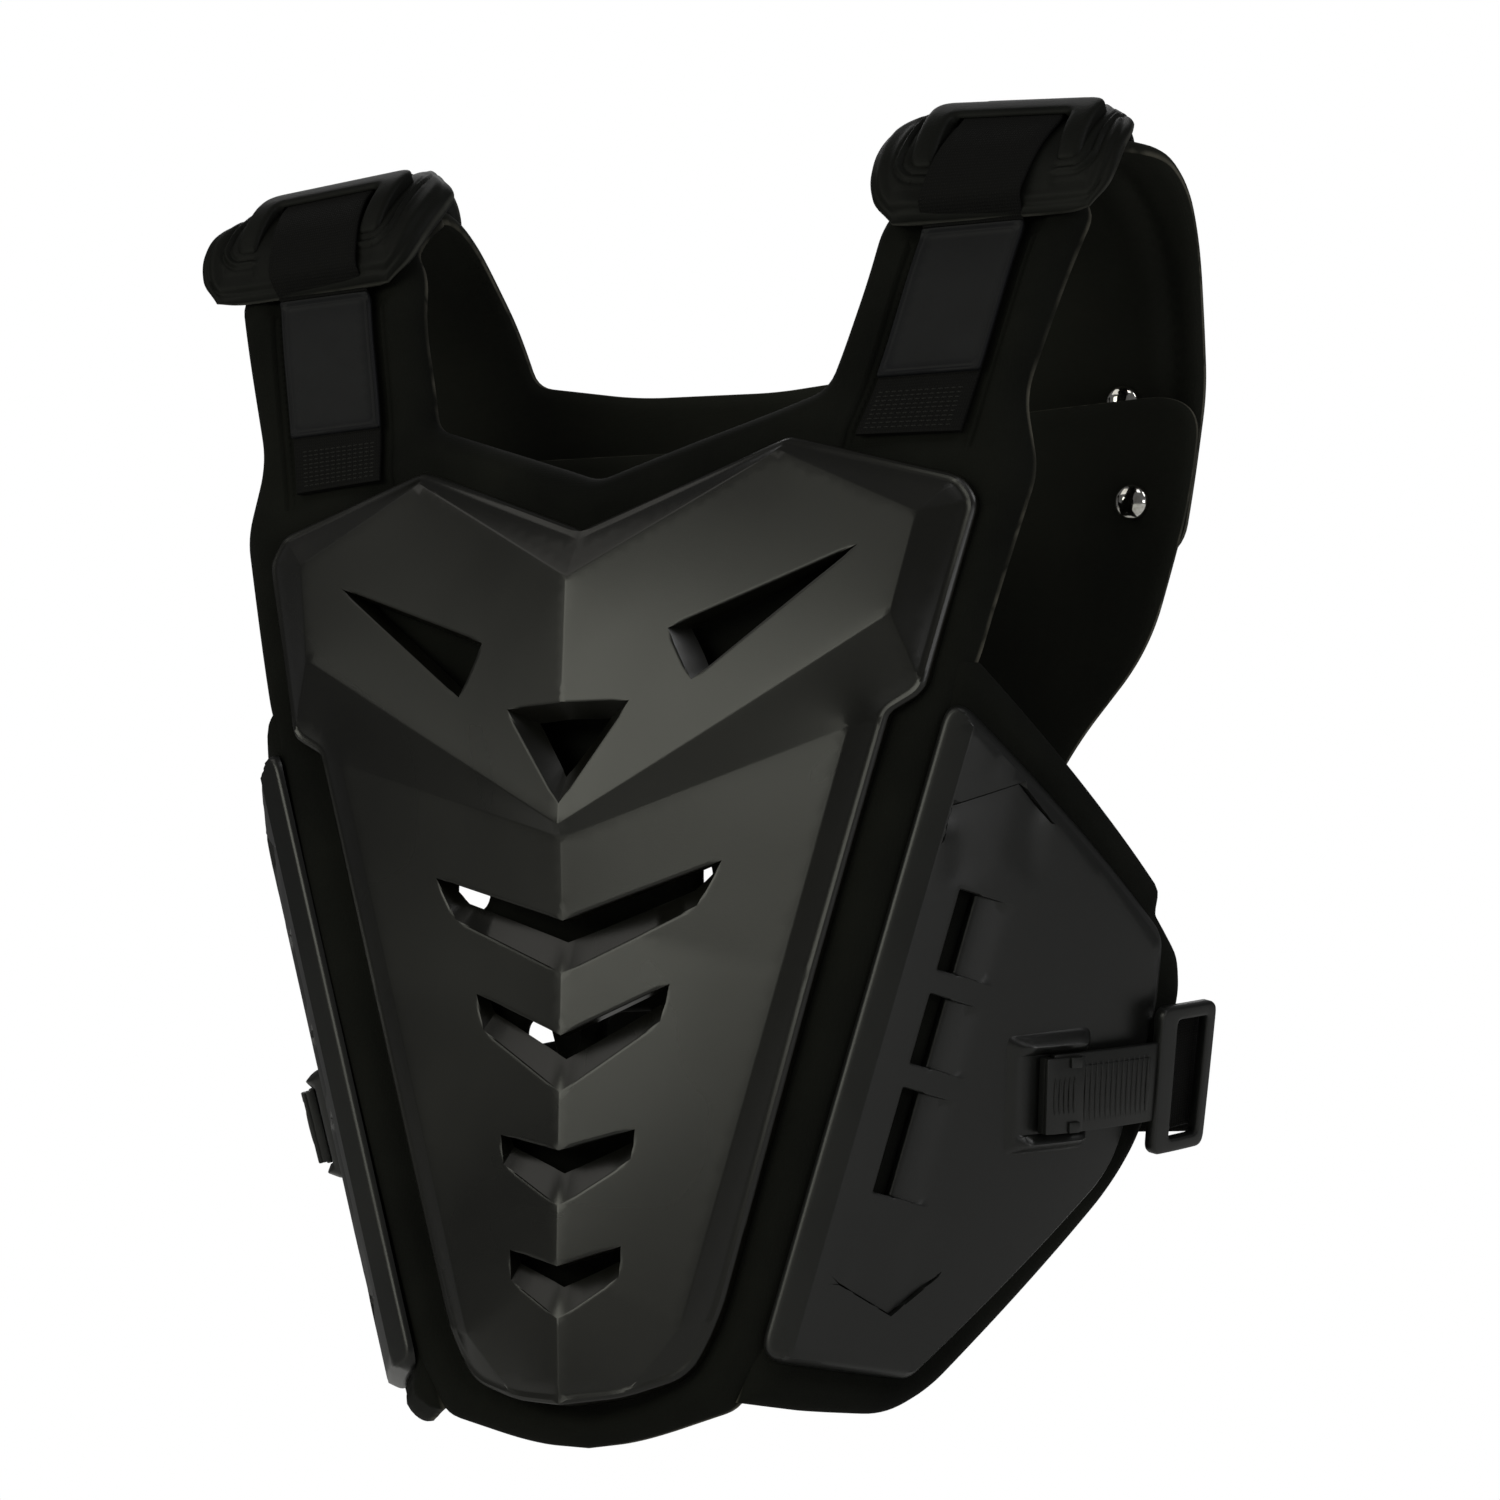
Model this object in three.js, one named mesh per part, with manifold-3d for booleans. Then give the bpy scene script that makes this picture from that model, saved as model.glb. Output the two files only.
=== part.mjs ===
// Body armor vest: a padded chest and back protector for motor sports, in the form it has when worn.
// Millimetres, +Z up. The wearer faces -Y, so +X is the wearer's left.
// Pieces are drawn flat, as they are cut or moulded, and then wrapped on the torso or on its side wings.

import * as THREE from 'three';
import { mergeVertices } from 'three/addons/utils/BufferGeometryUtils.js';
import Module from 'manifold-3d';

const wasm = await Module();
wasm.setup();

// Driving dimensions
const GAP = 0.5; // clearance between neighbouring pieces
const PAD = 10; // foam of the front pad and of the yoke
const LOWER_PAD = 8; // foam of the lower back pad
const SHELL = 2.6; // wall of the moulded plates
const PLATE_GAP = 2.3; // clearance of the chest plate over the pad's curve
const SIDE_GAP = 1.4; // clearance of the side plates
const RIM = 4.5; // height of the chest plate's edge over the pad
const CUT_REACH = 34; // reach of a cutting outline over the crown of the torso
const VENT_DEPTH = 9; // how far the vent walls reach behind the chest plate's face
const VENT_WALL = 1.8;
const WEBBING_WIDTH = 40;
const WEBBING = 2; // webbing thickness
const STRAP_LIFT = 2; // webbing over the foam
const SADDLE_LIFT = 12.4; // webbing over the shoulder pad
const SADDLE_X = 147; // middle of the webbing on the shoulder pad
const SADDLE_TILT = 0.075; // fall of the shoulder pad's top towards the arm
const LABEL = { width: 41, from: 36, to: 96, thick: 2.2, rim: 1.6, recess: 0.5, draft: 0.4, gap: 2.1 };
const RIVET = { cap: 6.2, dome: 3.8, shank: 2.2, flange: 1.2, gap: 1.6 };
const RIVET_NEST = 6; // room between the two back pads for a rivet cap
const SHOULDER_REST = { y: 60, z: 134 }; // where the shoulders carry the vest, the part's origin

// The torso's outer face, from the front hem over the shoulder and down the back. y and z are on the
// side line, crown is how far the middle stands out from there, along is the distance on the path,
// which equals z in front.
const SIDE_LINE = 150;
const CROWN_POWER = 1.6;
const TORSO = rows(
  'along y z crown',
  [-360, -14, -360, 13],
  [-176, -13, -176, 10],
  [-80, -8, -80, 16],
  [0, 0, 0, 21],
  [20, 3.5, 20, 15],
  [42, 8, 42, 6],
  [105, 22, 104, 3],
  [125, 31, 122, 0],
  [150, 50, 138, 0],
  [165, 64, 143.5, 0],
  [180, 79, 142, 0],
  [205, 101, 130, 0],
  [230, 117, 111, 2],
  [262, 129, 81, 6],
  [303, 137, 41, 12],
  [365, 141, -21, 16],
  [445, 136, -101, 16],
  [600, 116, -255, 12],
);

// The side wings bend back from a slanted fold line on the chest, by an angle that grows to the rear.
const FOLD = { topX: 139.9, topZ: -84.2, lowX: 72, lowZ: -311 };
const WING_ANGLE = THREE.MathUtils.degToRad(50);
const WING_BEND = THREE.MathUtils.degToRad(0.2); // for each millimetre
const WING_LINES = [36, 72, 108]; // where the pieces on the wing bend

// Flat outlines. On the torso u is across and v along, on a wing u is down and v back from the fold.
const FRONT_HALF = rows(
  'u v round',
  [0, 8, 6],
  [84, 42, 7],
  [96, 86, 12],
  [99, 108, 8],
  [108, 124, 6],
  [109, 157, 3],
  [166, 157, 3],
  [168, 124, 6],
  [181, 106, 6],
  [160, 36, 10],
  [166, 7, 8],
  [148, -62, 4],
  [FOLD.topX, FOLD.topZ, 0],
  [FOLD.lowX, FOLD.lowZ, 0],
  [59, -332, 5],
  [22, -343, 16],
  [0, -345, 0],
);
const WING_PAD = rows(
  'u v round',
  [-21, 0, 0],
  [-21, 8, 3],
  [37, 119.5, 3],
  [46, 121, 2],
  [58, 141, 5],
  [72, 149, 10],
  [126, 149, 12],
  [148, 140, 12],
  [236, 76, 8],
  [249, 60, 10],
  [254, 32, 8],
  [259, 0, 0],
);
const SIDE_PLATE = rows(
  'u v round inset',
  [-7, 0, 12, 8],
  [53, 123, 8, 4],
  [76, 130, 8, 2.5],
  [141, 131, 14, 2.5],
  [235, 61, 4, 3.5],
  [242, 0, 10, 5],
);
const YOKE_HALF = rows(
  'u v round',
  [0, 274, 10],
  [60, 271, 12],
  [104, 262, 7],
  [112, 215, 12],
  [112, 164, 3],
  [166, 164, 3],
  [170, 172, 4],
  [188, 186, 8],
  [190, 206, 10],
  [186, 262, 14],
  [185, 290, 10],
  [178, 325, 12],
  [172, 352, 14],
  [0, 356, 0],
);
const LOWER_BACK_HALF = rows(
  'u v round',
  [0, 296, 8],
  [120, 292, 14],
  [190, 291, 24],
  [183, 332, 18],
  [164, 391, 18],
  [130, 434, 30],
  [91, 525, 24],
  [72, 574, 22],
  [0, 580, 0],
);

// Vent holes in the foam: x and along of the middle, half width and half height.
const FRONT_HOLES = rows(
  'x along half tall',
  [51, -139, 8.5, 8.5],
  [18.5, -195, 9.5, 7.5],
);
const BACK_HOLES = rows('x along half tall', [38, 467, 13, 11]);

// The chest plate's corners: x and z on the chest, and height over the pad.
const PLATE_POINTS = rows(
  'name x z lift',
  ['notch', 0, -12.8, RIM],
  ['apex', 77, 19.3, RIM],
  ['corner_in', 143, 2.5, RIM],
  ['corner_out', 149.5, -7, RIM],
  ['low', 132.2, -76.9, RIM],
  ['step', 119.2, -84.4, RIM],
  ['flank', 92.1, -176, RIM],
  ['heel_up', 56, -301, RIM],
  ['heel_low', 45, -321, 5],
  ['sole', 22, -328.5, 12],
  ['keel', 0, -331, 19],
  ['ridge', 0, -32.4, 14.5],
  ['brow', 75.7, 12.5, 7],
  ['temple', 129.7, -11.9, 6.5],
  ['cheek', 122.4, -49.6, 6.8],
  ['beak', 0, -123, 20],
  ['tier', 0, -127, 18.6],
  ['crest', 106.2, -89.8, 4.8],
  ['crest_mid', 85.3, -176.7, 5],
  ['crest_low', 47, -303, 7.7],
  ['spine_up', 0, -155.8, 17.6],
  ['spine_low', 0, -281, 18.8],
);
const PLATE_FACETS = [
  'notch apex brow ridge',
  'apex corner_in temple brow',
  'corner_in corner_out temple',
  'corner_out low cheek temple',
  'ridge brow temple cheek beak',
  'cheek low step crest tier beak',
  'step flank crest_mid crest',
  'flank heel_up crest_low crest_mid',
  'crest_low heel_up heel_low sole',
  'spine_up tier crest crest_mid',
  'crest_mid crest_low spine_low spine_up',
  'spine_low crest_low sole keel',
];

// Vents of the chest plate, drawn on its face.
const EYE = rows('x z', [108.4, -21.9], [38.8, -49.8], [48.5, -69.5]);
const NOSE = rows('x z', [25.4, -76.1], [-25.4, -76.1], [0, -113.3]);
const NOSE_TAPER = 0.66;
const CHEVRONS = rows(
  'tipX tipZ heelX heelZ topZ lowZ slope',
  [59.4, -135.8, 50, -152, -155.8, -174.9, 9],
  [40, -180, 36.6, -193.5, -197.7, -218.1, 8.5],
  [27.7, -232.4, 26.2, -243.2, -239.5, -259.6, 7],
  [22.8, -274.5, 22.2, -285.5, -281.3, -300.1, 7],
);

// Side plate face: height at the fold and at the rear edge, and its louvres down the face.
const FACE = { front: 7, rear: 4.2, width: 131 };
const LOUVRES = rows('from to', [60, 90], [99, 125], [134, 173]);
const LOUVRE = { slot: 22, ramp: 30.5, end: 46, sink: 4.5 };

// The buckle and its toothed strap lie on an axis of their own on the wing.
const BUCKLE_AT = { u: 123, v: 76, slope: -0.32 };
const BOSS = { half: 20.5, from: -9, to: 25, top: 9, railTop: 12, railWidth: 4.6 };
const LADDER = { half: 14.8, from: 5, to: 60, low: 9.4, high: 12, panel: 10, tooth: 1.6, pitch: 3.4 };
const LOOP = { half: 28, from: 56, to: 87, bar: 5.5, slotFrom: 65, slotTo: 82, low: 8.4, high: 13.4 };
const LEVER = { half: 14, to: 17, low: 12.5, high: 14.6, ribs: 5, ribPitch: 2.2, ribHeight: 0.8 };

// Side webbing, from under the loop to the lower back pad: middle points, then on the torso.
const SIDE_WEBBING_HALF = 19;
const SIDE_WEBBING_ON_LOOP = rows('b a lift', [0, 62, 6.6], [0, 74, 6.6], [0, 86, 6.6]);
const SIDE_WEBBING_TO_BACK = rows('x y z', [174, 133, -205], [148, 138, -204], [116, 130, -204]);
const SIDE_WEBBING_ON_BACK = rows('x along', [88, 549], [68, 549]);

// Shoulder pad: its rows from the front to the rear, and its section from the neck to the arm, with
// heights over the foam. Lobes in front stand up at their outer edge and the top falls there.
const SADDLE = rows(
  'along inner outer body fall',
  [101, 112, 184, 0.25, -1],
  [106, 104, 192, 0.7, -1],
  [116, 99, 196, 1, -1],
  [132, 97, 197, 1, -0.6],
  [146, 98, 196, 1, 0.6],
  [154, 102, 193, 1, 1],
  [162, 109, 188, 1, 0.8],
  [172, 114, 181, 0.95, 0.2],
  [186, 118, 174, 0.8, 0],
  [196, 122, 170, 0.5, 0],
  [202, 126, 166, 0.2, 0],
);
const SADDLE_SECTION = rows(
  'share top under drop',
  [0, 9.5, 4.5, 0],
  [0.05, 13, 2, 0],
  [0.13, 14, 1.2, 0],
  [0.27, 11.9, 1.2, 0],
  [0.5, 10.4, 1.2, 0],
  [0.73, 8.8, 1.2, 0],
  [0.86, 7.6, 1.2, 0],
  [0.94, 5.5, 1, 1.2],
  [1, 3.2, 1.2, 4],
);

// Rivets on the back: x and along of the middle, and whether the cap sits under the lower pad.
const RIVETS = rows('name x along nested', ['upper', 152, 293, true], ['lower', 160, 332, false]);

const COLOURS = {
  foam: 0x101112,
  plate: 0x35352f,
  side: 0x2b2c2d,
  web: 0x131414,
  patch: 0x25262a,
  chrome: 0xc8c8c8,
};

// Reading and drawing

function rows(columns, ...lines) {
  const names = columns.split(' ');
  return lines.map((line) => Object.fromEntries(names.map((name, i) => [name, line[i]])));
}

function whole(half) {
  const other = half.filter((corner) => corner.u > 0).reverse();
  return [...half, ...other.map((corner) => ({ ...corner, u: -corner.u }))];
}

// A closed shape through corners, each rounded by its own amount.
function outline(corners) {
  const shape = new THREE.Shape();
  corners.forEach((corner, i) => {
    const here = new THREE.Vector2(corner.u, corner.v);
    const [start, end] = [corners.length - 1, 1].map((step) => {
      const other = corners[(i + step) % corners.length];
      const way = new THREE.Vector2(other.u, other.v).sub(here);
      return here.clone().add(way.setLength(Math.min(corner.round ?? 0, way.length() * 0.45)));
    });
    if (i === 0) shape.moveTo(start.x, start.y);
    else shape.lineTo(start.x, start.y);
    if (corner.round) shape.quadraticCurveTo(here.x, here.y, end.x, end.y);
  });
  return shape;
}

function rectangle(fromU, toU, fromV, toV, round = 0) {
  const sides = rows('u v', [fromU, fromV], [toU, fromV], [toU, toV], [fromU, toV]);
  return outline(sides.map((corner) => ({ ...corner, round })));
}

function addHoles(shape, holes) {
  for (const hole of holes) {
    for (const side of [-1, 1]) {
      const middle = side * hole.x;
      const span = [middle - hole.half, middle + hole.half, hole.along - hole.tall, hole.along + hole.tall];
      shape.holes.push(rectangle(...span, Math.min(hole.half, hole.tall)));
    }
  }
  return shape;
}

// Flat solids: a shape with its lower and upper height
function slab(shape, low, high) {
  const options = { depth: high - low, bevelEnabled: false, curveSegments: 2 };
  return new THREE.ExtrudeGeometry(shape, options).translate(0, 0, low);
}

function block(fromU, toU, fromV, toV, low, high) {
  return slab(rectangle(fromU, toU, fromV, toV), low, high);
}

// A closed solid between two loops of points, each of which can be seen whole from its first point.
function between(front, back) {
  const count = front.length;
  const points = [...front, ...back];
  const index = [];
  for (let i = 0; i < count; i += 1) {
    const next = (i + 1) % count;
    index.push(i, next, count + next, i, count + next, count + i);
    if (i > 0 && i < count - 1) index.push(0, i + 1, i, count, count + i, count + i + 1);
  }
  return outward(fromPoints(points, index));
}

// A closed solid between an outer and an inner grid of points.
function blanket(outer, inner) {
  const across = outer[0].length;
  const points = [...outer.flat(), ...inner.flat()];
  const below = outer.length * across;
  const index = [];
  const quad = (a, b, c, d) => index.push(a, b, c, a, c, d);
  for (let i = 0; i < outer.length - 1; i += 1) {
    for (let j = 0; j < across - 1; j += 1) {
      const corners = [i * across + j, i * across + j + 1, (i + 1) * across + j + 1, (i + 1) * across + j];
      quad(...corners);
      quad(...corners.map((corner) => corner + below).reverse());
    }
    for (const [j, turn] of [[0, true], [across - 1, false]]) {
      const near = i * across + j;
      const far = near + across;
      const wall = [near, near + below, far + below, far];
      quad(...(turn ? wall.reverse() : wall));
    }
  }
  for (let j = 0; j < across - 1; j += 1) {
    const last = (outer.length - 1) * across;
    quad(j + 1, j, j + below, j + 1 + below);
    quad(last + j, last + j + 1, last + j + 1 + below, last + j + below);
  }
  return outward(fromPoints(points, index));
}

function fromPoints(points, index) {
  const geometry = new THREE.BufferGeometry().setFromPoints(points);
  geometry.setIndex(index);
  return geometry;
}

function volume(geometry) {
  const place = geometry.getAttribute('position');
  const order = geometry.getIndex().array;
  const corner = (i) => new THREE.Vector3().fromBufferAttribute(place, order[i]);
  let sum = 0;
  for (let i = 0; i < order.length; i += 3) sum += corner(i).dot(corner(i + 1).cross(corner(i + 2)));
  return sum / 6;
}

function turned(geometry) {
  const order = geometry.getIndex().array;
  for (let i = 0; i < order.length; i += 3) [order[i], order[i + 1]] = [order[i + 1], order[i]];
  return geometry;
}

function outward(geometry) {
  return volume(geometry) < 0 ? turned(geometry) : geometry;
}

// Bare geometry, solids and back

function bare(geometry) {
  const plain = geometry.clone();
  plain.deleteAttribute('normal');
  plain.deleteAttribute('uv');
  return mergeVertices(plain, 1e-4);
}

function solid(geometry) {
  const plain = bare(geometry);
  const vertProperties = new Float32Array(plain.getAttribute('position').array);
  const triVerts = new Uint32Array(plain.getIndex().array);
  return new wasm.Manifold(new wasm.Mesh({ numProp: 3, vertProperties, triVerts }));
}

function surface(body) {
  const { vertProperties, triVerts } = body.getMesh();
  const geometry = new THREE.BufferGeometry();
  geometry.setAttribute('position', new THREE.BufferAttribute(vertProperties, 3));
  geometry.setIndex(new THREE.BufferAttribute(triVerts, 1));
  return geometry;
}

function joined(...geometries) {
  return geometries.map(solid).reduce((sum, next) => sum.add(next));
}

function mirrored(geometry) {
  return turned(bare(geometry).scale(-1, 1, 1));
}

// Sheets that flat pieces are wrapped on

const torsoForm = new THREE.CubicInterpolant(
  TORSO.map((row) => row.along),
  TORSO.flatMap((row) => [row.y, row.z, row.crown]),
  3,
);

function torso(x, along, lift) {
  const step = 0.5;
  const [yBefore, zBefore] = torsoForm.evaluate(along - step);
  const [yAfter, zAfter] = torsoForm.evaluate(along + step);
  const [y, z, crown] = torsoForm.evaluate(along);
  const slope = new THREE.Vector2(yAfter - yBefore, zAfter - zBefore).normalize();
  const out = lift + crown * (1 - (Math.abs(x) / SIDE_LINE) ** CROWN_POWER);
  return new THREE.Vector3(x, y - slope.y * out, z + slope.x * out);
}

const foldTop = torso(FOLD.topX, FOLD.topZ, 0);
const wingDown = torso(FOLD.lowX, FOLD.lowZ, 0).sub(foldTop).normalize();
const wingBack = new THREE.Vector3(0, 1, 0).addScaledVector(wingDown, -wingDown.y).normalize();
const wingSide = new THREE.Vector3().crossVectors(wingDown, wingBack);

function wing(down, back, lift) {
  const angle = WING_ANGLE + WING_BEND * back;
  const side = (Math.sin(angle) - Math.sin(WING_ANGLE)) / WING_BEND;
  const rear = (Math.cos(WING_ANGLE) - Math.cos(angle)) / WING_BEND;
  return foldTop.clone()
    .addScaledVector(wingDown, down)
    .addScaledVector(wingSide, side + Math.sin(angle) * lift)
    .addScaledVector(wingBack, rear - Math.cos(angle) * lift);
}

// The buckle's axis: b across the strap and downwards, a along the strap to the rear.
function buckleSheet(b, a, lift) {
  const axis = new THREE.Vector2(BUCKLE_AT.slope, 1).normalize();
  return wing(BUCKLE_AT.u + b * axis.y + a * axis.x, BUCKLE_AT.v - b * axis.x + a * axis.y, lift);
}

// One triangle as the pieces it falls into on either side of a line of equal v.
function splitTriangle(triangle, line) {
  const away = triangle.map((p) => (Math.abs(p.y - line) < 1e-5 ? 0 : Math.sign(p.y - line)));
  if (!away.includes(1) || !away.includes(-1)) return [triangle];
  const middle = away.indexOf(0);
  const alone = away.findIndex((side) => side !== 0 && away.filter((other) => other === side).length === 1);
  const first = middle >= 0 ? middle : alone;
  const [a, b, c] = [0, 1, 2].map((k) => triangle[(first + k) % 3]);
  const cross = (p, q) => {
    const [low, high] = p.y < q.y ? [p, q] : [q, p];
    return low.clone().lerp(high, (line - low.y) / (high.y - low.y));
  };
  if (middle >= 0) {
    const cut = cross(b, c);
    return [[a, b, cut], [a, cut, c]];
  }
  const [near, far] = [cross(a, b), cross(a, c)];
  return [[a, near, far], [near, b, c], [near, c, far]];
}

// A flat solid put on a sheet, which may bend it at the given lines of v.
function wrap(geometry, sheet, lines) {
  const flat = bare(geometry);
  const place = flat.getAttribute('position');
  const order = flat.getIndex().array;
  const corner = (i) => new THREE.Vector3().fromBufferAttribute(place, order[i]);
  let triangles = [];
  for (let i = 0; i < order.length; i += 3) triangles.push([corner(i), corner(i + 1), corner(i + 2)]);
  for (const line of lines) triangles = triangles.flatMap((triangle) => splitTriangle(triangle, line));
  const points = triangles.flat().map((p) => sheet(p.x, p.y, p.z));
  return bare(new THREE.BufferGeometry().setFromPoints(points));
}

function steps(from, to, count) {
  return Array.from({ length: count + 1 }, (_, i) => from + ((to - from) * i) / count);
}

// A pad of even thickness on a sheet, cut to a shape.
function cutPad(shape, sheet, across, lines, low, high) {
  const grid = (lift) => lines.map((v) => across.map((u) => sheet(u, v, lift)));
  const cutter = wrap(slab(shape, low - 4, high + CUT_REACH), sheet, lines);
  return solid(blanket(grid(high), grid(low))).intersect(solid(cutter));
}

// Pads

function frontPad() {
  const chest = addHoles(outline(whole(FRONT_HALF)), FRONT_HOLES);
  const across = steps(-192, 192, 8);
  const upward = [...steps(-352, 0, 6), 20, 48, 100, 116, 130, 144, 158];
  const left = cutPad(outline(WING_PAD), wing, steps(-30, 265, 3), [-0.2, ...WING_LINES, 152], -PAD, 0);
  const right = solid(mirrored(surface(left)));
  return surface(cutPad(chest, torso, across, upward, -PAD, 0).add(left).add(right));
}

function yokeLift(nested) {
  return nested ? -PAD : -PAD - RIVET_NEST - LOWER_PAD;
}

// A cap rivet on the wearer's left, with its cap on the inside.
function rivetOn(row, grow) {
  const inner = torso(row.x, row.along, yokeLift(row.nested) - RIVET.gap);
  const outer = torso(row.x, row.along, RIVET.gap);
  const length = inner.distanceTo(outer);
  const shank = RIVET.shank + grow;
  const cap = grow ? shank : RIVET.cap;
  const dome = RIVET.dome;
  const profile = rows(
    'r y',
    [0, -dome],
    [cap * 0.5, -dome * 0.85],
    [cap * 0.85, -dome * 0.5],
    [cap, 0],
    [shank, 0],
    [shank, length],
    [cap, length],
    [cap * 0.8, length + RIVET.flange],
    [0, length + RIVET.flange],
  );
  const body = new THREE.LatheGeometry(profile.map((p) => new THREE.Vector2(p.r, p.y)), 10);
  const axis = outer.clone().sub(inner).normalize();
  body.applyQuaternion(new THREE.Quaternion().setFromUnitVectors(new THREE.Vector3(0, 1, 0), axis));
  return body.translate(inner.x, inner.y, inner.z);
}

function withRivetHoles(pad, rivets) {
  let body = pad;
  for (const row of rivets) {
    const hole = rivetOn(row, GAP);
    body = body.subtract(solid(hole)).subtract(solid(mirrored(hole)));
  }
  return surface(body);
}

function yoke() {
  const downward = [...steps(163, 223, 4), 245, 275, 312, 358];
  const pad = cutPad(outline(whole(YOKE_HALF)), torso, steps(-195, 195, 8), downward, -PAD, 0);
  return withRivetHoles(pad, RIVETS);
}

function lowerBackPad() {
  const high = -PAD - RIVET_NEST;
  const shape = addHoles(outline(whole(LOWER_BACK_HALF)), BACK_HOLES);
  const pad = cutPad(shape, torso, steps(-195, 195, 8), steps(287, 584, 6), high - LOWER_PAD, high);
  return withRivetHoles(pad, RIVETS.filter((row) => !row.nested));
}

// Chest plate

// The faceted skin of the chest plate, both halves, as a wall of the given thickness.
function plateWall(thickness) {
  const names = [];
  const outer = [];
  const inner = [];
  for (const side of [1, -1]) {
    for (const point of PLATE_POINTS) {
      names.push(point.x === 0 ? point.name : `${point.name} ${side}`);
      outer.push(torso(side * point.x, point.z, point.lift));
      inner.push(torso(side * point.x, point.z, Math.max(PLATE_GAP, point.lift - thickness)));
    }
  }
  const skin = [];
  for (const side of [1, -1]) {
    for (const facet of PLATE_FACETS) {
      const find = (name) => Math.max(names.indexOf(name), names.indexOf(`${name} ${side}`));
      const ring = facet.split(' ').map(find);
      for (let i = 1; i < ring.length - 1; i += 1) {
        const [a, b, c] = [ring[0], ring[i], ring[i + 1]];
        const normal = new THREE.Triangle(outer[a], outer[b], outer[c]).getNormal(new THREE.Vector3());
        skin.push(...(normal.y < 0 ? [a, b, c] : [a, c, b]));
      }
    }
  }
  const below = outer.length;
  const index = [...skin];
  const edges = new Set();
  for (let i = 0; i < skin.length; i += 3) {
    index.push(skin[i] + below, skin[i + 2] + below, skin[i + 1] + below);
    for (let k = 0; k < 3; k += 1) edges.add(`${skin[i + k]} ${skin[i + ((k + 1) % 3)]}`);
  }
  for (const edge of edges) {
    const [a, b] = edge.split(' ').map(Number);
    if (!edges.has(`${b} ${a}`)) index.push(b, a, a + below, b, a + below, b + below);
  }
  return fromPoints([...outer, ...inner], index);
}

// A loop of points moved out by an amount, in the plane of x and z.
function grown(loop, amount) {
  const area = THREE.ShapeUtils.area(loop.map((p) => new THREE.Vector2(p.x, p.z)));
  const hand = Math.sign(area);
  return loop.map((p, i) => {
    const before = loop[(i + loop.length - 1) % loop.length];
    const after = loop[(i + 1) % loop.length];
    const one = new THREE.Vector2(p.z - before.z, before.x - p.x).normalize();
    const two = new THREE.Vector2(after.z - p.z, p.x - after.x).normalize();
    const way = one.clone().add(two);
    const reach = (hand * amount * 2) / Math.max(way.lengthSq(), 1);
    return { x: p.x + way.x * reach, z: p.z + way.y * reach };
  });
}

function chevronVent(row) {
  const front = rows(
    'x z',
    [0, row.topZ],
    [row.tipX, row.tipZ],
    [row.heelX, row.heelZ],
    [0, row.lowZ],
    [-row.heelX, row.heelZ],
    [-row.tipX, row.tipZ],
  );
  const back = front.map((p) => {
    if (p.z === row.lowZ) return { x: 0, z: p.z + row.slope };
    if (p.z === row.heelZ) return { x: p.x * 0.94, z: p.z + row.slope * 0.55 };
    return { x: p.x * 0.97, z: p.z };
  });
  return { front, back };
}

function noseVent() {
  const middle = NOSE.reduce((sum, p) => sum + p.z, 0) / NOSE.length;
  const back = NOSE.map((p) => ({ x: p.x * NOSE_TAPER, z: middle + (p.z - middle) * NOSE_TAPER }));
  return { front: NOSE, back };
}

function plateVents() {
  const eyes = [1, -1].map((side) => {
    const loop = EYE.map((p) => ({ x: side * p.x, z: p.z }));
    return { front: loop, back: loop };
  });
  return [...eyes, noseVent(), ...CHEVRONS.map(chevronVent)];
}

function chestPlate() {
  const wall = plateWall(SHELL);
  const face = new THREE.Mesh(wall);
  const ray = new THREE.Raycaster();
  const ahead = new THREE.Vector3(0, 1, 0);
  const faceY = (x, z) => {
    ray.set(new THREE.Vector3(x, -200, z), ahead);
    return ray.intersectObject(face)[0].point.y;
  };
  let body = solid(wall);
  const room = solid(plateWall(VENT_DEPTH));
  for (const { front, back } of plateVents()) {
    const depth = front.map((p) => faceY(p.x, p.z));
    const place = (loop, move) => loop.map((p, i) => new THREE.Vector3(p.x, depth[i] + move, p.z));
    const mouth = place(front, 0);
    const end = place(back, VENT_DEPTH);
    const beyond = (from, to) => to.map((p, i) => p.clone().lerp(from[i], -0.6));
    const cutter = between(beyond(end, mouth), beyond(mouth, end));
    const collar = between(place(grown(front, VENT_WALL), 0), place(grown(back, VENT_WALL), VENT_DEPTH));
    body = body.add(solid(collar).intersect(room)).subtract(solid(cutter));
  }
  return surface(body);
}

// Side plate, buckle and ladder strap, in the flat of the wing

function faceHeight(back) {
  return FACE.front + ((FACE.rear - FACE.front) * Math.max(back, 0)) / FACE.width;
}

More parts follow.
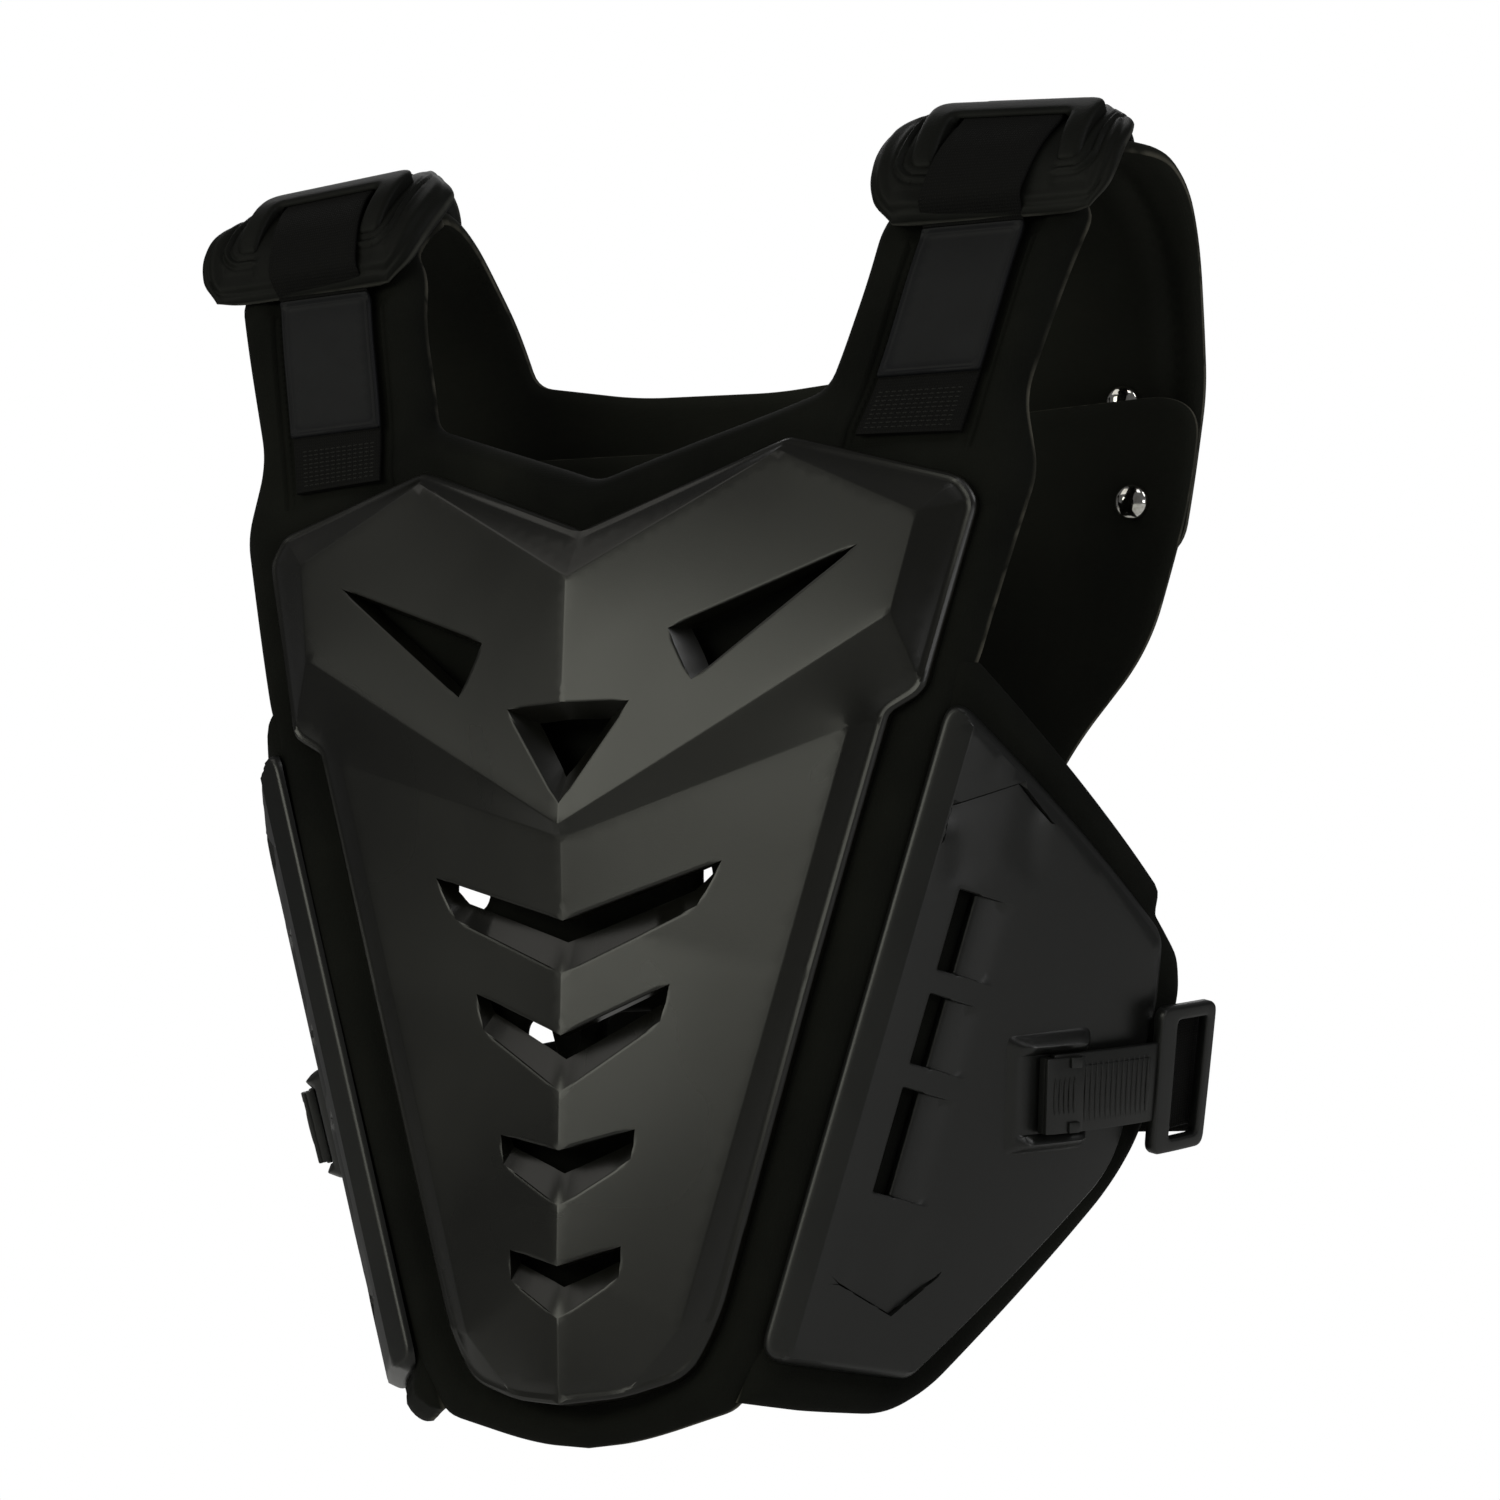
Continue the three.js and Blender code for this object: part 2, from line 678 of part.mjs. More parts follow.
// The raised plate: an outline at the foot and the same outline, drawn in, at the face.
function raisedPlate(sink, shrink) {
  const foot = outline(SIDE_PLATE).extractPoints(2).shape;
  const middle = foot.reduce((sum, p) => sum.add(p), new THREE.Vector2()).divideScalar(foot.length);
  const inset = (p) => {
    const near = SIDE_PLATE.map((c) => ({ inset: c.inset, away: Math.hypot(c.u - p.x, c.v - p.y) + 1 }));
    const weights = near.reduce((sum, c) => sum + 1 / c.away ** 2, 0);
    return near.reduce((sum, c) => sum + c.inset / c.away ** 2, 0) / weights;
  };
  const drawn = (p, amount) => {
    const way = middle.clone().sub(p);
    return p.clone().add(way.setLength(amount));
  };
  const low = foot.map((p) => drawn(p, shrink));
  const top = foot.map((p) => drawn(p, shrink + inset(p)));
  const start = shrink ? SIDE_GAP - 1 : SIDE_GAP;
  const edge = shrink ? start + 1 : start + SHELL - 1;
  const flat = (p, height) => new THREE.Vector3(p.x, p.y, height);
  const belt = between(low.map((p) => flat(p, start)), low.map((p) => flat(p, edge)));
  const crown = between(low.map((p) => flat(p, edge)), top.map((p) => flat(p, faceHeight(p.y) - sink)));
  return solid(belt).add(solid(crown));
}

// A wedge whose floor falls from the face, at the far end, to its full sink at the slot.
function louvreRamp(row) {
  const { ramp, end, sink } = LOUVRE;
  const high = faceHeight(ramp);
  const start = ramp - 0.5;
  const side = rows(
    'back lift',
    [end, faceHeight(end) - 0.01],
    [end, high + 3],
    [start, high + 3],
    [start, high - sink],
  );
  const loop = (down) => side.map((p) => new THREE.Vector3(down, p.back, p.lift));
  return between(loop(row.from), loop(row.to));
}

function onBuckleAxis(geometry) {
  const axis = Math.atan(BUCKLE_AT.slope);
  return bare(geometry).rotateZ(-axis).translate(BUCKLE_AT.u, BUCKLE_AT.v, 0);
}

function sidePlate() {
  let body = raisedPlate(0, 0).subtract(raisedPlate(SHELL, SHELL));
  const { half, from, to, top, railTop, railWidth } = BOSS;
  const inside = half - railWidth;
  const bed = onBuckleAxis(block(-half, half, from, to, FACE.rear - 1.5, top));
  const rails = onBuckleAxis(block(-half, half, from + 3, to - 3, top - 1, railTop));
  const channel = onBuckleAxis(block(-inside, inside, from + 5, to + 5, top, railTop + 1));
  body = body.add(solid(bed)).add(solid(rails)).subtract(solid(channel));
  for (const row of LOUVRES) {
    const { slot, ramp, end: rear, sink } = LOUVRE;
    const low = faceHeight(ramp) - sink - SHELL / 2;
    const floor = block(row.from, row.to, ramp, rear, low, faceHeight(rear) - 0.2);
    body = body.add(solid(floor)).subtract(solid(louvreRamp(row)));
    body = body.subtract(solid(block(row.from, row.to, slot, ramp, -2, FACE.front + 3)));
  }
  return wrap(surface(body), wing, WING_LINES);
}

function buckle() {
  const { half, to, low, high, ribs, ribPitch, ribHeight } = LEVER;
  const parts = [block(-half, half, 0, to, low, high)];
  const hook = block(half - 4, half, to - 7, to - 2, high - 0.5, high + 1);
  parts.push(hook, block(4 - half - 4, 4 - half, to - 7, to - 2, high - 0.5, high + 1));
  for (let i = 0; i < ribs; i += 1) {
    const start = 3 + i * ribPitch;
    parts.push(block(-half * 0.55, half * 0.55, start, start + ribPitch / 2, high - 0.5, high + ribHeight));
  }
  parts.push(block(-half, half, 0, 3.5, BOSS.top + GAP, low + 0.5));
  return wrap(surface(joined(...parts)), buckleSheet, []);
}

function ladderStrap() {
  const { half, from, to, low, high, panel, tooth, pitch } = LADDER;
  const parts = [block(-half, half, from, to, low, high)];
  const loop = rectangle(-LOOP.half, LOOP.half, LOOP.from, LOOP.to, 5);
  const inside = LOOP.half - LOOP.bar;
  loop.holes.push(rectangle(-inside, inside, LOOP.slotFrom, LOOP.slotTo, 1.5));
  parts.push(slab(loop, LOOP.low, LOOP.high));
  const start = LEVER.to + 1;
  parts.push(block(-panel, panel, start, LOOP.from - 4, high - 0.5, high + 0.8));
  const teeth = Math.floor((LOOP.from - 4 - start) / pitch);
  for (let i = 0; i < teeth; i += 1) {
    const at = start + i * pitch;
    parts.push(block(-panel - tooth, panel + tooth, at, at + pitch / 2, high - 0.5, high + 0.8));
  }
  return wrap(surface(joined(...parts)), buckleSheet, steps(20, 80, 3));
}

// Webbing

// A band from middle points, with the direction across it and its outer side at each point.
function band(stations, half, thick) {
  const outer = [];
  const inner = [];
  for (const { middle, across, out } of stations) {
    const ends = [-half, half].map((reach) => middle.clone().addScaledVector(across, reach));
    inner.push(ends);
    outer.push(ends.map((p) => p.clone().addScaledVector(out, thick)));
  }
  return blanket(outer, inner);
}

function sideWebbing() {
  const first = SIDE_WEBBING_ON_LOOP.map((row) => buckleSheet(row.b, row.a, row.lift - WEBBING));
  const free = SIDE_WEBBING_TO_BACK.map((row) => new THREE.Vector3(row.x, row.y, row.z));
  const lift = GAP - PAD - RIVET_NEST;
  const last = SIDE_WEBBING_ON_BACK.map((row) => torso(row.x, row.along, lift));
  const middles = [...first, ...free, ...last];
  const [{ x, along }] = SIDE_WEBBING_ON_BACK;
  const onLoop = buckleSheet(1, 70, 0).sub(buckleSheet(0, 70, 0)).normalize();
  const onBack = torso(x, along + 1, lift).sub(torso(x, along, lift)).normalize();
  const stations = middles.map((middle, i) => {
    const across = onLoop.clone().lerp(onBack, THREE.MathUtils.clamp((i - 2) / 3, 0, 1)).normalize();
    const ahead = middles[Math.min(i + 1, middles.length - 1)];
    const behind = middles[Math.max(i - 1, 0)];
    const out = across.clone().cross(ahead.clone().sub(behind)).normalize();
    return { middle, across, out };
  });
  return band(stations, SIDE_WEBBING_HALF, WEBBING);
}

function strapMiddle(along) {
  return Math.min(SADDLE_X, 125 + 0.226 * (along - 40));
}

function shoulderStrap() {
  const places = rows(
    'along lift',
    [16, STRAP_LIFT],
    [34, STRAP_LIFT],
    [98, STRAP_LIFT],
    [107, SADDLE_LIFT],
    [122, SADDLE_LIFT],
    [135, SADDLE_LIFT],
    [146, SADDLE_LIFT],
    [156, SADDLE_LIFT],
    [166, SADDLE_LIFT],
    [176, SADDLE_LIFT],
    [188, SADDLE_LIFT],
    [198, SADDLE_LIFT - 1],
    [214, STRAP_LIFT],
    [231, STRAP_LIFT],
    [247, STRAP_LIFT],
    [266, STRAP_LIFT],
  );
  const grid = (lift) => places.map((row) => [-1, 1].map((side) => {
    const x = strapMiddle(row.along) + (side * WEBBING_WIDTH) / 2;
    return saddle(x, row.along, row.lift + lift);
  }));
  return blanket(grid(WEBBING), grid(0));
}

// The bare patch on the strap, in a frame of its own: x across, y up the strap, z outwards.
function label() {
  const half = LABEL.width / 2;
  const tall = (LABEL.to - LABEL.from) / 2;
  const corners = rows('u v', [-1, -1], [1, -1], [1, 1], [-1, 1]);
  const loop = (inset, height) => corners.map((corner) => {
    return new THREE.Vector3(corner.u * (half - inset), corner.v * (tall - inset), height);
  });
  const low = loop(LABEL.rim + LABEL.draft, LABEL.thick - LABEL.recess);
  const high = loop(LABEL.rim - LABEL.draft, LABEL.thick + LABEL.recess);
  const base = slab(rectangle(-half, half, -tall, tall, 1), 0, LABEL.thick);
  return surface(solid(base).subtract(solid(between(low, high))));
}

function labelFrame() {
  const lift = STRAP_LIFT + WEBBING + LABEL.gap;
  const middle = (LABEL.from + LABEL.to) / 2;
  const half = LABEL.width / 2;
  const [low, high] = [LABEL.from, LABEL.to].map((along) => torso(strapMiddle(along), along, lift));
  const up = high.sub(low);
  const right = torso(strapMiddle(middle) + half, middle, 0);
  const out = right.sub(torso(strapMiddle(middle) - half, middle, 0)).cross(up).normalize();
  up.normalize();
  const frame = new THREE.Matrix4().makeBasis(up.clone().cross(out), up, out);
  return frame.setPosition(torso(strapMiddle(middle), middle, lift));
}

// The torso's sheet with the fall that the shoulder pad and the webbing have on the shoulder.
function saddle(x, along, lift) {
  const ramp = THREE.MathUtils.clamp(Math.min((along - 100) / 22, (214 - along) / 22), 0, 1);
  return torso(x, along, lift - SADDLE_TILT * (x - SADDLE_X) * ramp);
}

function shoulderPad() {
  const sheet = (top) => SADDLE.map((row) => SADDLE_SECTION.map((part) => {
    const thick = (part.top - part.under) * row.body;
    const lift = part.under - part.drop * row.fall + (top ? thick : 0);
    return torso(row.inner + part.share * (row.outer - row.inner), row.along, lift);
  }));
  const legs = [-1, 1].map((side) => {
    const [near, far] = [side * 24.5, side * 32.5].sort((a, b) => a - b);
    return block(SADDLE_X + near, SADDLE_X + far, 122, 150, 7, 16.4);
  });
  const bar = block(SADDLE_X - 32.5, SADDLE_X + 32.5, 142, 151, SADDLE_LIFT + WEBBING + GAP, 17.4);
  const bridge = [...legs, bar].map((piece) => wrap(piece, saddle, steps(122, 151, 4)));
  const [one, two, over] = bridge;
  return surface(joined(blanket(sheet(true), sheet(false)), one, two, over));
}

// The assembly

const vest = new THREE.Group();
vest.position.set(0, -SHOULDER_REST.y, -SHOULDER_REST.z);

function add(name, geometry, colour, roughness, metalness = 0) {
  const material = new THREE.MeshStandardMaterial({ color: colour, roughness, metalness });
  const mesh = new THREE.Mesh(geometry, material);
  mesh.name = name;
  vest.add(mesh);
  return mesh;
}

function addPair(name, geometry, colour, roughness, metalness = 0) {
  add(`${name}_left`, geometry, colour, roughness, metalness);
  add(`${name}_right`, mirrored(geometry), colour, roughness, metalness);
}

add('front_pad', frontPad(), COLOURS.foam, 0.95);
add('chest_plate', chestPlate(), COLOURS.plate, 0.45);
addPair('side_plate', sidePlate(), COLOURS.side, 0.55);
addPair('buckle', buckle(), COLOURS.side, 0.5);
addPair('ladder_strap', ladderStrap(), COLOURS.side, 0.5);
addPair('side_webbing', sideWebbing(), COLOURS.web, 0.95);
addPair('shoulder_pad', shoulderPad(), COLOURS.foam, 0.8);
addPair('shoulder_strap', shoulderStrap(), COLOURS.web, 0.95);
addPair('label', bare(label()).applyMatrix4(labelFrame()), COLOURS.patch, 0.6);
add('back_pad_upper', yoke(), COLOURS.foam, 0.95);
add('back_pad_lower', lowerBackPad(), COLOURS.foam, 0.95);
for (const row of RIVETS) {
  const rivet = rivetOn(row, 0);
  add(`rivet_left_${row.name}`, rivet, COLOURS.chrome, 0.15, 1);
  add(`rivet_right_${row.name}`, mirrored(rivet), COLOURS.chrome, 0.15, 1);
}

export default vest;
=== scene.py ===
"""Looks of the body armor vest: foam pads, moulded plates, webbing, patches, buckles and rivets."""

import math

import bmesh
import bpy
import numpy as np
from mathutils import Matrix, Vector
from mathutils.geometry import delaunay_2d_cdt
from mathutils.kdtree import KDTree


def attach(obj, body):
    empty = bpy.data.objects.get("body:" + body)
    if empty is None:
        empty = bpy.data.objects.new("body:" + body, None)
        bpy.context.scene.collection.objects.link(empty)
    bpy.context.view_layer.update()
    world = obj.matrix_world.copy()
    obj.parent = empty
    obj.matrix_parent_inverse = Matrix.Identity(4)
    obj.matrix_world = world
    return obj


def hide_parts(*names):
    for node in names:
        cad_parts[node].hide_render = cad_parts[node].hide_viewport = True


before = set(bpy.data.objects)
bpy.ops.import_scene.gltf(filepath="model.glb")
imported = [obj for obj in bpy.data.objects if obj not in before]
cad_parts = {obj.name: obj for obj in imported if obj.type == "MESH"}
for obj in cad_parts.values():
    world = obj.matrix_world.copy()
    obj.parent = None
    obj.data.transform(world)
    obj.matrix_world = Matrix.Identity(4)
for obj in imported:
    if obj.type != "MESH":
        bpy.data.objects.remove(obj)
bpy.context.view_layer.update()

MM = 0.001
BODY = "root"
FLIP = (-1, 1, 1)  # to the other side
REST = np.array([0.0, 60.0, 134.0])  # the shoulder rest in the drawing frame, in mm

# Camera: the drawing frame is turned 27 degrees from the lens, which looks up by 8 degrees
CAMERA_AT = (1.07729, -2.06484, -0.54374)
CAMERA_YAW, CAMERA_PITCH = math.radians(27.0), math.radians(8.046)
FOCAL_SHARE = 6199.65 / 1500.0  # focal length as a share of the frame's width
SENSOR = 36.0
FARTHEST = 60.0  # metres, past the white room


def put_in_scene(name, data):
    thing = bpy.data.objects.new(name, data)
    bpy.context.scene.collection.objects.link(thing)
    return thing


def add_camera():
    lens = bpy.data.cameras.new("camera")
    lens.sensor_width = SENSOR
    lens.lens = FOCAL_SHARE * SENSOR
    lens.clip_end = FARTHEST
    camera = put_in_scene("camera", lens)
    camera.location = CAMERA_AT
    camera.rotation_euler = (math.pi / 2 + CAMERA_PITCH, 0.0, CAMERA_YAW)
    bpy.context.scene.camera = camera


add_camera()

# Forms that the pieces lie on, in mm

SIDE_LINE = 150.0
CROWN_POWER = 1.6
TORSO = np.array([  # along, y, z, crown
    (-360, -14, -360, 13),
    (-176, -13, -176, 10),
    (-80, -8, -80, 16),
    (0, 0, 0, 21),
    (20, 3.5, 20, 15),
    (42, 8, 42, 6),
    (105, 22, 104, 3),
    (125, 31, 122, 0),
    (150, 50, 138, 0),
    (165, 64, 143.5, 0),
    (180, 79, 142, 0),
    (205, 101, 130, 0),
    (230, 117, 111, 2),
    (262, 129, 81, 6),
    (303, 137, 41, 12),
    (365, 141, -21, 16),
    (445, 136, -101, 16),
    (600, 116, -255, 12),
], float)
FOLD_TOP, FOLD_LOW = (139.9, -84.2), (72.0, -311.0)
WING_ANGLE, WING_BEND = math.radians(50.0), math.radians(0.2)
BUCKLE_AT = (123.0, 76.0)
BUCKLE_SLOPE = -0.32


def torso_line(along):
    """y, z and crown on the side line, on a smooth curve through the table."""
    t, values = TORSO[:, 0], TORSO[:, 1:]
    a = np.clip(np.asarray(along, float), t[0], t[-1])
    i1 = np.clip(np.searchsorted(t, a, side="right"), 1, len(t) - 1)
    i0 = i1 - 1
    before, after = np.maximum(i0 - 1, 0), np.minimum(i1 + 1, len(t) - 1)
    before = np.where(i0 == 0, i1, before)
    after = np.where(i1 == len(t) - 1, i0, after)
    half = (t[i1] - t[i0]) / 2
    wp, wn = half / (t[i0] - t[before]), half / (t[after] - t[i1])
    p = (a - t[i0]) / (t[i1] - t[i0])
    p2, p3 = p * p, p * p * p
    sp = -wp * p3 + 2 * wp * p2 - wp * p
    s0 = (1 + wp) * p3 + (-1.5 - 2 * wp) * p2 + (-0.5 + wp) * p + 1
    s1 = (-1 - wn) * p3 + (1.5 + wn) * p2 + 0.5 * p
    sn = wn * p3 - wn * p2
    parts = zip((sp, s0, s1, sn), (before, i0, i1, after))
    return sum(weight[..., None] * values[index] for weight, index in parts)


def torso(x, along, lift):
    """A point over the chest, shoulder or back: x to the side, along the side line, lift outwards."""
    x, along, lift = np.broadcast_arrays(*[np.asarray(v, float) for v in (x, along, lift)])
    here = torso_line(along)
    slope = torso_line(along + 0.5) - torso_line(along - 0.5)
    length = np.hypot(slope[..., 0], slope[..., 1])
    out = lift + here[..., 2] * (1 - (np.abs(x) / SIDE_LINE) ** CROWN_POWER)
    y = here[..., 0] - slope[..., 1] / length * out
    z = here[..., 1] + slope[..., 0] / length * out
    return np.stack([x, y, z], -1)


fold_top = torso(*FOLD_TOP, 0)
wing_down = torso(*FOLD_LOW, 0) - fold_top
wing_down /= np.linalg.norm(wing_down)
wing_back = np.array([0.0, 1.0, 0.0]) - wing_down * wing_down[1]
wing_back /= np.linalg.norm(wing_back)
wing_side = np.cross(wing_down, wing_back)


def wing(down, back, lift):
    """A point over the left wing: down its fold, back from it, lift outwards."""
    down, back, lift = np.broadcast_arrays(*[np.asarray(v, float) for v in (down, back, lift)])
    angle = WING_ANGLE + WING_BEND * back
    side = (np.sin(angle) - math.sin(WING_ANGLE)) / WING_BEND + np.sin(angle) * lift
    rear = (math.cos(WING_ANGLE) - np.cos(angle)) / WING_BEND - np.cos(angle) * lift
    point = fold_top + down[..., None] * wing_down
    point = point + side[..., None] * wing_side
    return point + rear[..., None] * wing_back


def buckle_sheet(b, a, lift):
    """b is across the buckle's strap and downwards, a is along it to the rear."""
    ax, ay = np.array([BUCKLE_SLOPE, 1.0]) / math.hypot(BUCKLE_SLOPE, 1.0)
    return wing(BUCKLE_AT[0] + b * ay + a * ax, BUCKLE_AT[1] - b * ax + a * ay, lift)


# Flat drawing: outlines, filling, and distance from an edge, in mm

MARK_STEP = 0.5  # between the marks that distances are measured to
ROW_STEP = 0.87  # rows of points in a filling, as a share of the spacing in a row
EDGE_CLEAR = 0.2  # between a free point and an edge
ROW_CLEAR = 0.85  # of a row's distance from its edge, which another edge has to keep too
GRID_CLEAR, CREASE_CLEAR = 0.55, 0.5  # of the spacing, between the grid and the rows beside it
BESIDE_CLEAR = 0.8  # of a crease's own rows, which other free points keep from it


def rounded(corners, step=1.6):
    """A closed line through (u, v, round) corners, each cut back by its round."""
    points = []
    for i, (u, v, cut) in enumerate(corners):
        here = np.array([u, v], float)
        ends = []
        for other in (corners[i - 1], corners[(i + 1) % len(corners)]):
            way = np.array(other[:2], float) - here
            length = np.linalg.norm(way)
            ends.append(here + way / length * min(cut, 0.45 * length))
        if cut == 0:
            points.append(here)
            continue
        for s in np.linspace(0, 1, max(3, int(cut / step) + 2)):
            points.append((1 - s) ** 2 * ends[0] + 2 * s * (1 - s) * here + s * s * ends[1])
    return np.array(points)


def both_halves(half):
    other = [(-u, v, cut) for u, v, cut in reversed(half) if u > 0]
    return list(half) + other


def box_loop(u0, u1, v0, v1, cut=0.0):
    return rounded([(u0, v0, cut), (u1, v0, cut), (u1, v1, cut), (u0, v1, cut)], 0.8)


def stepped(line, spacing, closed=True):
    """The line's points with more of them between, so that none are further apart than spacing."""
    ends = np.roll(line, -1, 0) if closed else line[1:]
    starts = line if closed else line[:-1]
    points = []
    for p, q in zip(starts, ends):
        count = max(1, int(math.ceil(np.linalg.norm(q - p) / spacing)))
        points.extend(p + (q - p) * k / count for k in range(count))
    if not closed:
        points.append(line[-1])
    return np.array(points)


def inside(points, loops):
    """Whether points lie inside the first loop and outside the others."""
    odd = np.zeros(len(points), bool)
    for loop in loops:
        for (x0, y0), (x1, y1) in zip(loop, np.roll(loop, -1, 0)):
            if y0 == y1:
                continue
            crosses = (points[:, 1] < y0) != (points[:, 1] < y1)
            odd ^= crosses & (points[:, 0] < x0 + (points[:, 1] - y0) * (x1 - x0) / (y1 - y0))
    return odd


def distance_to(points, lines, closed=True):
    """Each point's distance from the nearest line."""
    marks = np.concatenate([stepped(np.asarray(line, float), MARK_STEP, closed) for line in lines])
    tree = KDTree(len(marks))
    for i, (u, v) in enumerate(marks):
        tree.insert((u, v, 0.0), i)
    tree.balance()
    return np.array([tree.find((u, v, 0.0))[2] for u, v in points])


def turned(loop, way):
    """The loop run the way that makes its area positive, for way 1, or negative, for -1."""
    area = np.sum(loop[:, 0] * np.roll(loop[:, 1], -1) - np.roll(loop[:, 0], -1) * loop[:, 1])
    return loop if area * way > 0 else loop[::-1]


def heading(loop):
    """The direction of a closed line at each of its points."""
    way = np.roll(loop, -1, 0) - np.roll(loop, 1, 0)
    return way / np.linalg.norm(way, axis=1)[:, None]


def outset(loop, by):
    """A closed line moved outwards."""
    loop = turned(np.asarray(loop, float), 1)
    way = heading(loop)
    return loop + np.stack([way[:, 1], -way[:, 0]], 1) * by


def fill_flat(loops, spacing, rims=(), lines=(), beside=1.2):
    """Points, triangles and edge distance of a sheet cut to loops, with rows of points along its
    edges. lines are creases, which triangles follow, with a row of points at either side."""
    loops = [turned(np.asarray(loop, float), 1 if i == 0 else -1) for i, loop in enumerate(loops)]
    loops = [stepped(loop, spacing) for loop in loops]
    points, edges, free = [], [], []
    for loop in loops:
        start = len(points)
        points.extend(loop)
        edges.extend((start + i, start + (i + 1) % len(loop)) for i in range(len(loop)))
        way = heading(loop)
        for rim in rims:
            row = loop + np.stack([-way[:, 1], way[:, 0]], 1) * rim
            away = distance_to(row, loops)
            free.extend(row[inside(row, loops) & (away > ROW_CLEAR * rim)])
    creases = []
    for line in lines:
        line = stepped(np.asarray(line, float), spacing, False)
        start = len(points)
        points.extend(line)
        edges.extend((start + i, start + i + 1) for i in range(len(line) - 1))
        creases.append(line)
        way = np.gradient(line, axis=0)
        way /= np.linalg.norm(way, axis=1)[:, None]
        for side in (-beside, beside):
            free.extend(line + np.stack([-way[:, 1], way[:, 0]], 1) * side)
    low, high = loops[0].min(0), loops[0].max(0)
    rows, columns = np.arange(low[1], high[1], spacing * ROW_STEP), np.arange(low[0], high[0], spacing)
    grid = np.array([(u + (k % 2) * spacing / 2, v) for k, v in enumerate(rows) for u in columns])
    grid = grid[inside(grid, loops)]
    grid = grid[distance_to(grid, loops) > (max(rims) if rims else 0) + GRID_CLEAR * spacing]
    if creases:
        grid = grid[distance_to(grid, creases, False) > beside + CREASE_CLEAR * spacing]
    if free:
        free = np.array(free)
        free = free[inside(free, loops)]
        free = free[distance_to(free, loops) > EDGE_CLEAR]
        if creases:
            free = free[distance_to(free, creases, False) > BESIDE_CLEAR * beside]
    everything = [Vector(p) for group in (points, free, grid) for p in group]
    found = delaunay_2d_cdt(everything, edges, [], 0, 1e-4)
    flat = np.array([(p.x, p.y) for p in found[0]])
    triangles = np.array(found[2])
    triangles = triangles[inside(flat[triangles].mean(1), loops)]
    used = np.unique(triangles)
    flat, triangles = flat[used], np.searchsorted(used, triangles)
    return flat, triangles, distance_to(flat, loops)


def edge_pairs(triangles):
    """Edges that only one triangle has, in that triangle's direction."""
    sides = np.concatenate([triangles[:, [0, 1]], triangles[:, [1, 2]], triangles[:, [2, 0]]])
    have = {(a, b) for a, b in sides.tolist()}
    return np.array([(a, b) for a, b in have if (b, a) not in have])


def closed_shell(top, bottom, triangles):
    """A closed mesh from an upper and a lower sheet, with a wall along their edges."""
    count = len(top)
    walls = [(b, a, a + count, b + count) for a, b in edge_pairs(triangles).tolist()]
    faces = triangles.tolist() + (triangles[:, ::-1] + count).tolist() + walls
    return np.concatenate([top, bottom]), faces


def shell_on(sheet, flat, triangles, top, under):
    """A closed mesh on a sheet, between two heights at its flat points."""
    return closed_shell(*[sheet(flat[:, 0], flat[:, 1], lift) for lift in (top, under)], triangles)


def grid_triangles(rows, columns):
    """Triangles between points that lie in rows."""
    index = np.arange(rows * columns).reshape(rows, columns)
    quads = np.stack([index[:-1, :-1], index[:-1, 1:], index[1:, 1:], index[1:, :-1]], -1).reshape(-1, 4)
    return np.concatenate([quads[:, [0, 1, 2]], quads[:, [0, 2, 3]]])


# Cross sections: falls, rounds and ridges


def near_edge(away, width):
    """1 on an edge, falling evenly to 0 at a width from it."""
    return np.clip(1 - away / width, 0, 1)


def arc(share):
    """A quarter circle: 1 at 0, falling to 0 at 1."""
    return np.sqrt(np.clip(1 - share ** 2, 0, 1))


def eased(share):
    """0 to 1 with no corner at either end."""
    return share * share * (3 - 2 * share)


def ridge(distance, place, width):
    """A soft ridge, 1 high, at a place."""
    return np.exp(-(((distance - place) / width) ** 2))


# Pieces as Blender objects


def piece(name, points, faces, finish, slot, nodes=(), sharp=None, marks=None):
    """An object from points in the drawing frame, in mm, that rides with the vest."""
    mesh = bpy.data.meshes.new(name)
    mesh.from_pydata(((np.asarray(points) - REST) * MM).tolist(), [], faces)
    for key, values in (marks or {}).items():
        spots = mesh.attributes.new(key, "FLOAT", "POINT").data
        spots.foreach_set("value", np.asarray(values, np.float32))
    shape = bmesh.new()
    shape.from_mesh(mesh)
    loose = [v for v in shape.verts if not v.link_faces]
    bmesh.ops.delete(shape, geom=loose, context="VERTS")
    shape.to_mesh(mesh)
    shape.free()
    mesh.shade_smooth()
    if sharp:
        mesh.set_sharp_from_angle(angle=math.radians(sharp))
    return finished(put_in_scene(name, mesh), finish, nodes)


def finished(thing, finish, nodes=()):
    """Gives a piece its finish and its place in the frame."""
    thing.data.materials.clear()
    thing.data.materials.append(finish)
    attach(thing, BODY)
    if nodes:
        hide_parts(*nodes)
    return thing


def joined(*shells):
    """Several (points, faces) as one."""
    points, faces, start = [], [], 0
    for some_points, some_faces in shells:
        points.append(np.asarray(some_points))
        faces.extend([[i + start for i in face] for face in some_faces])
        start += len(some_points)
    return np.concatenate(points), faces


def mirrored(points, faces):
    """The same shape on the other side."""
    return np.asarray(points) * FLIP, [list(face)[::-1] for face in faces]


def left_and_right(shell):
    """Each side's name with its points and faces."""
    return ("left", shell), ("right", mirrored(*shell))


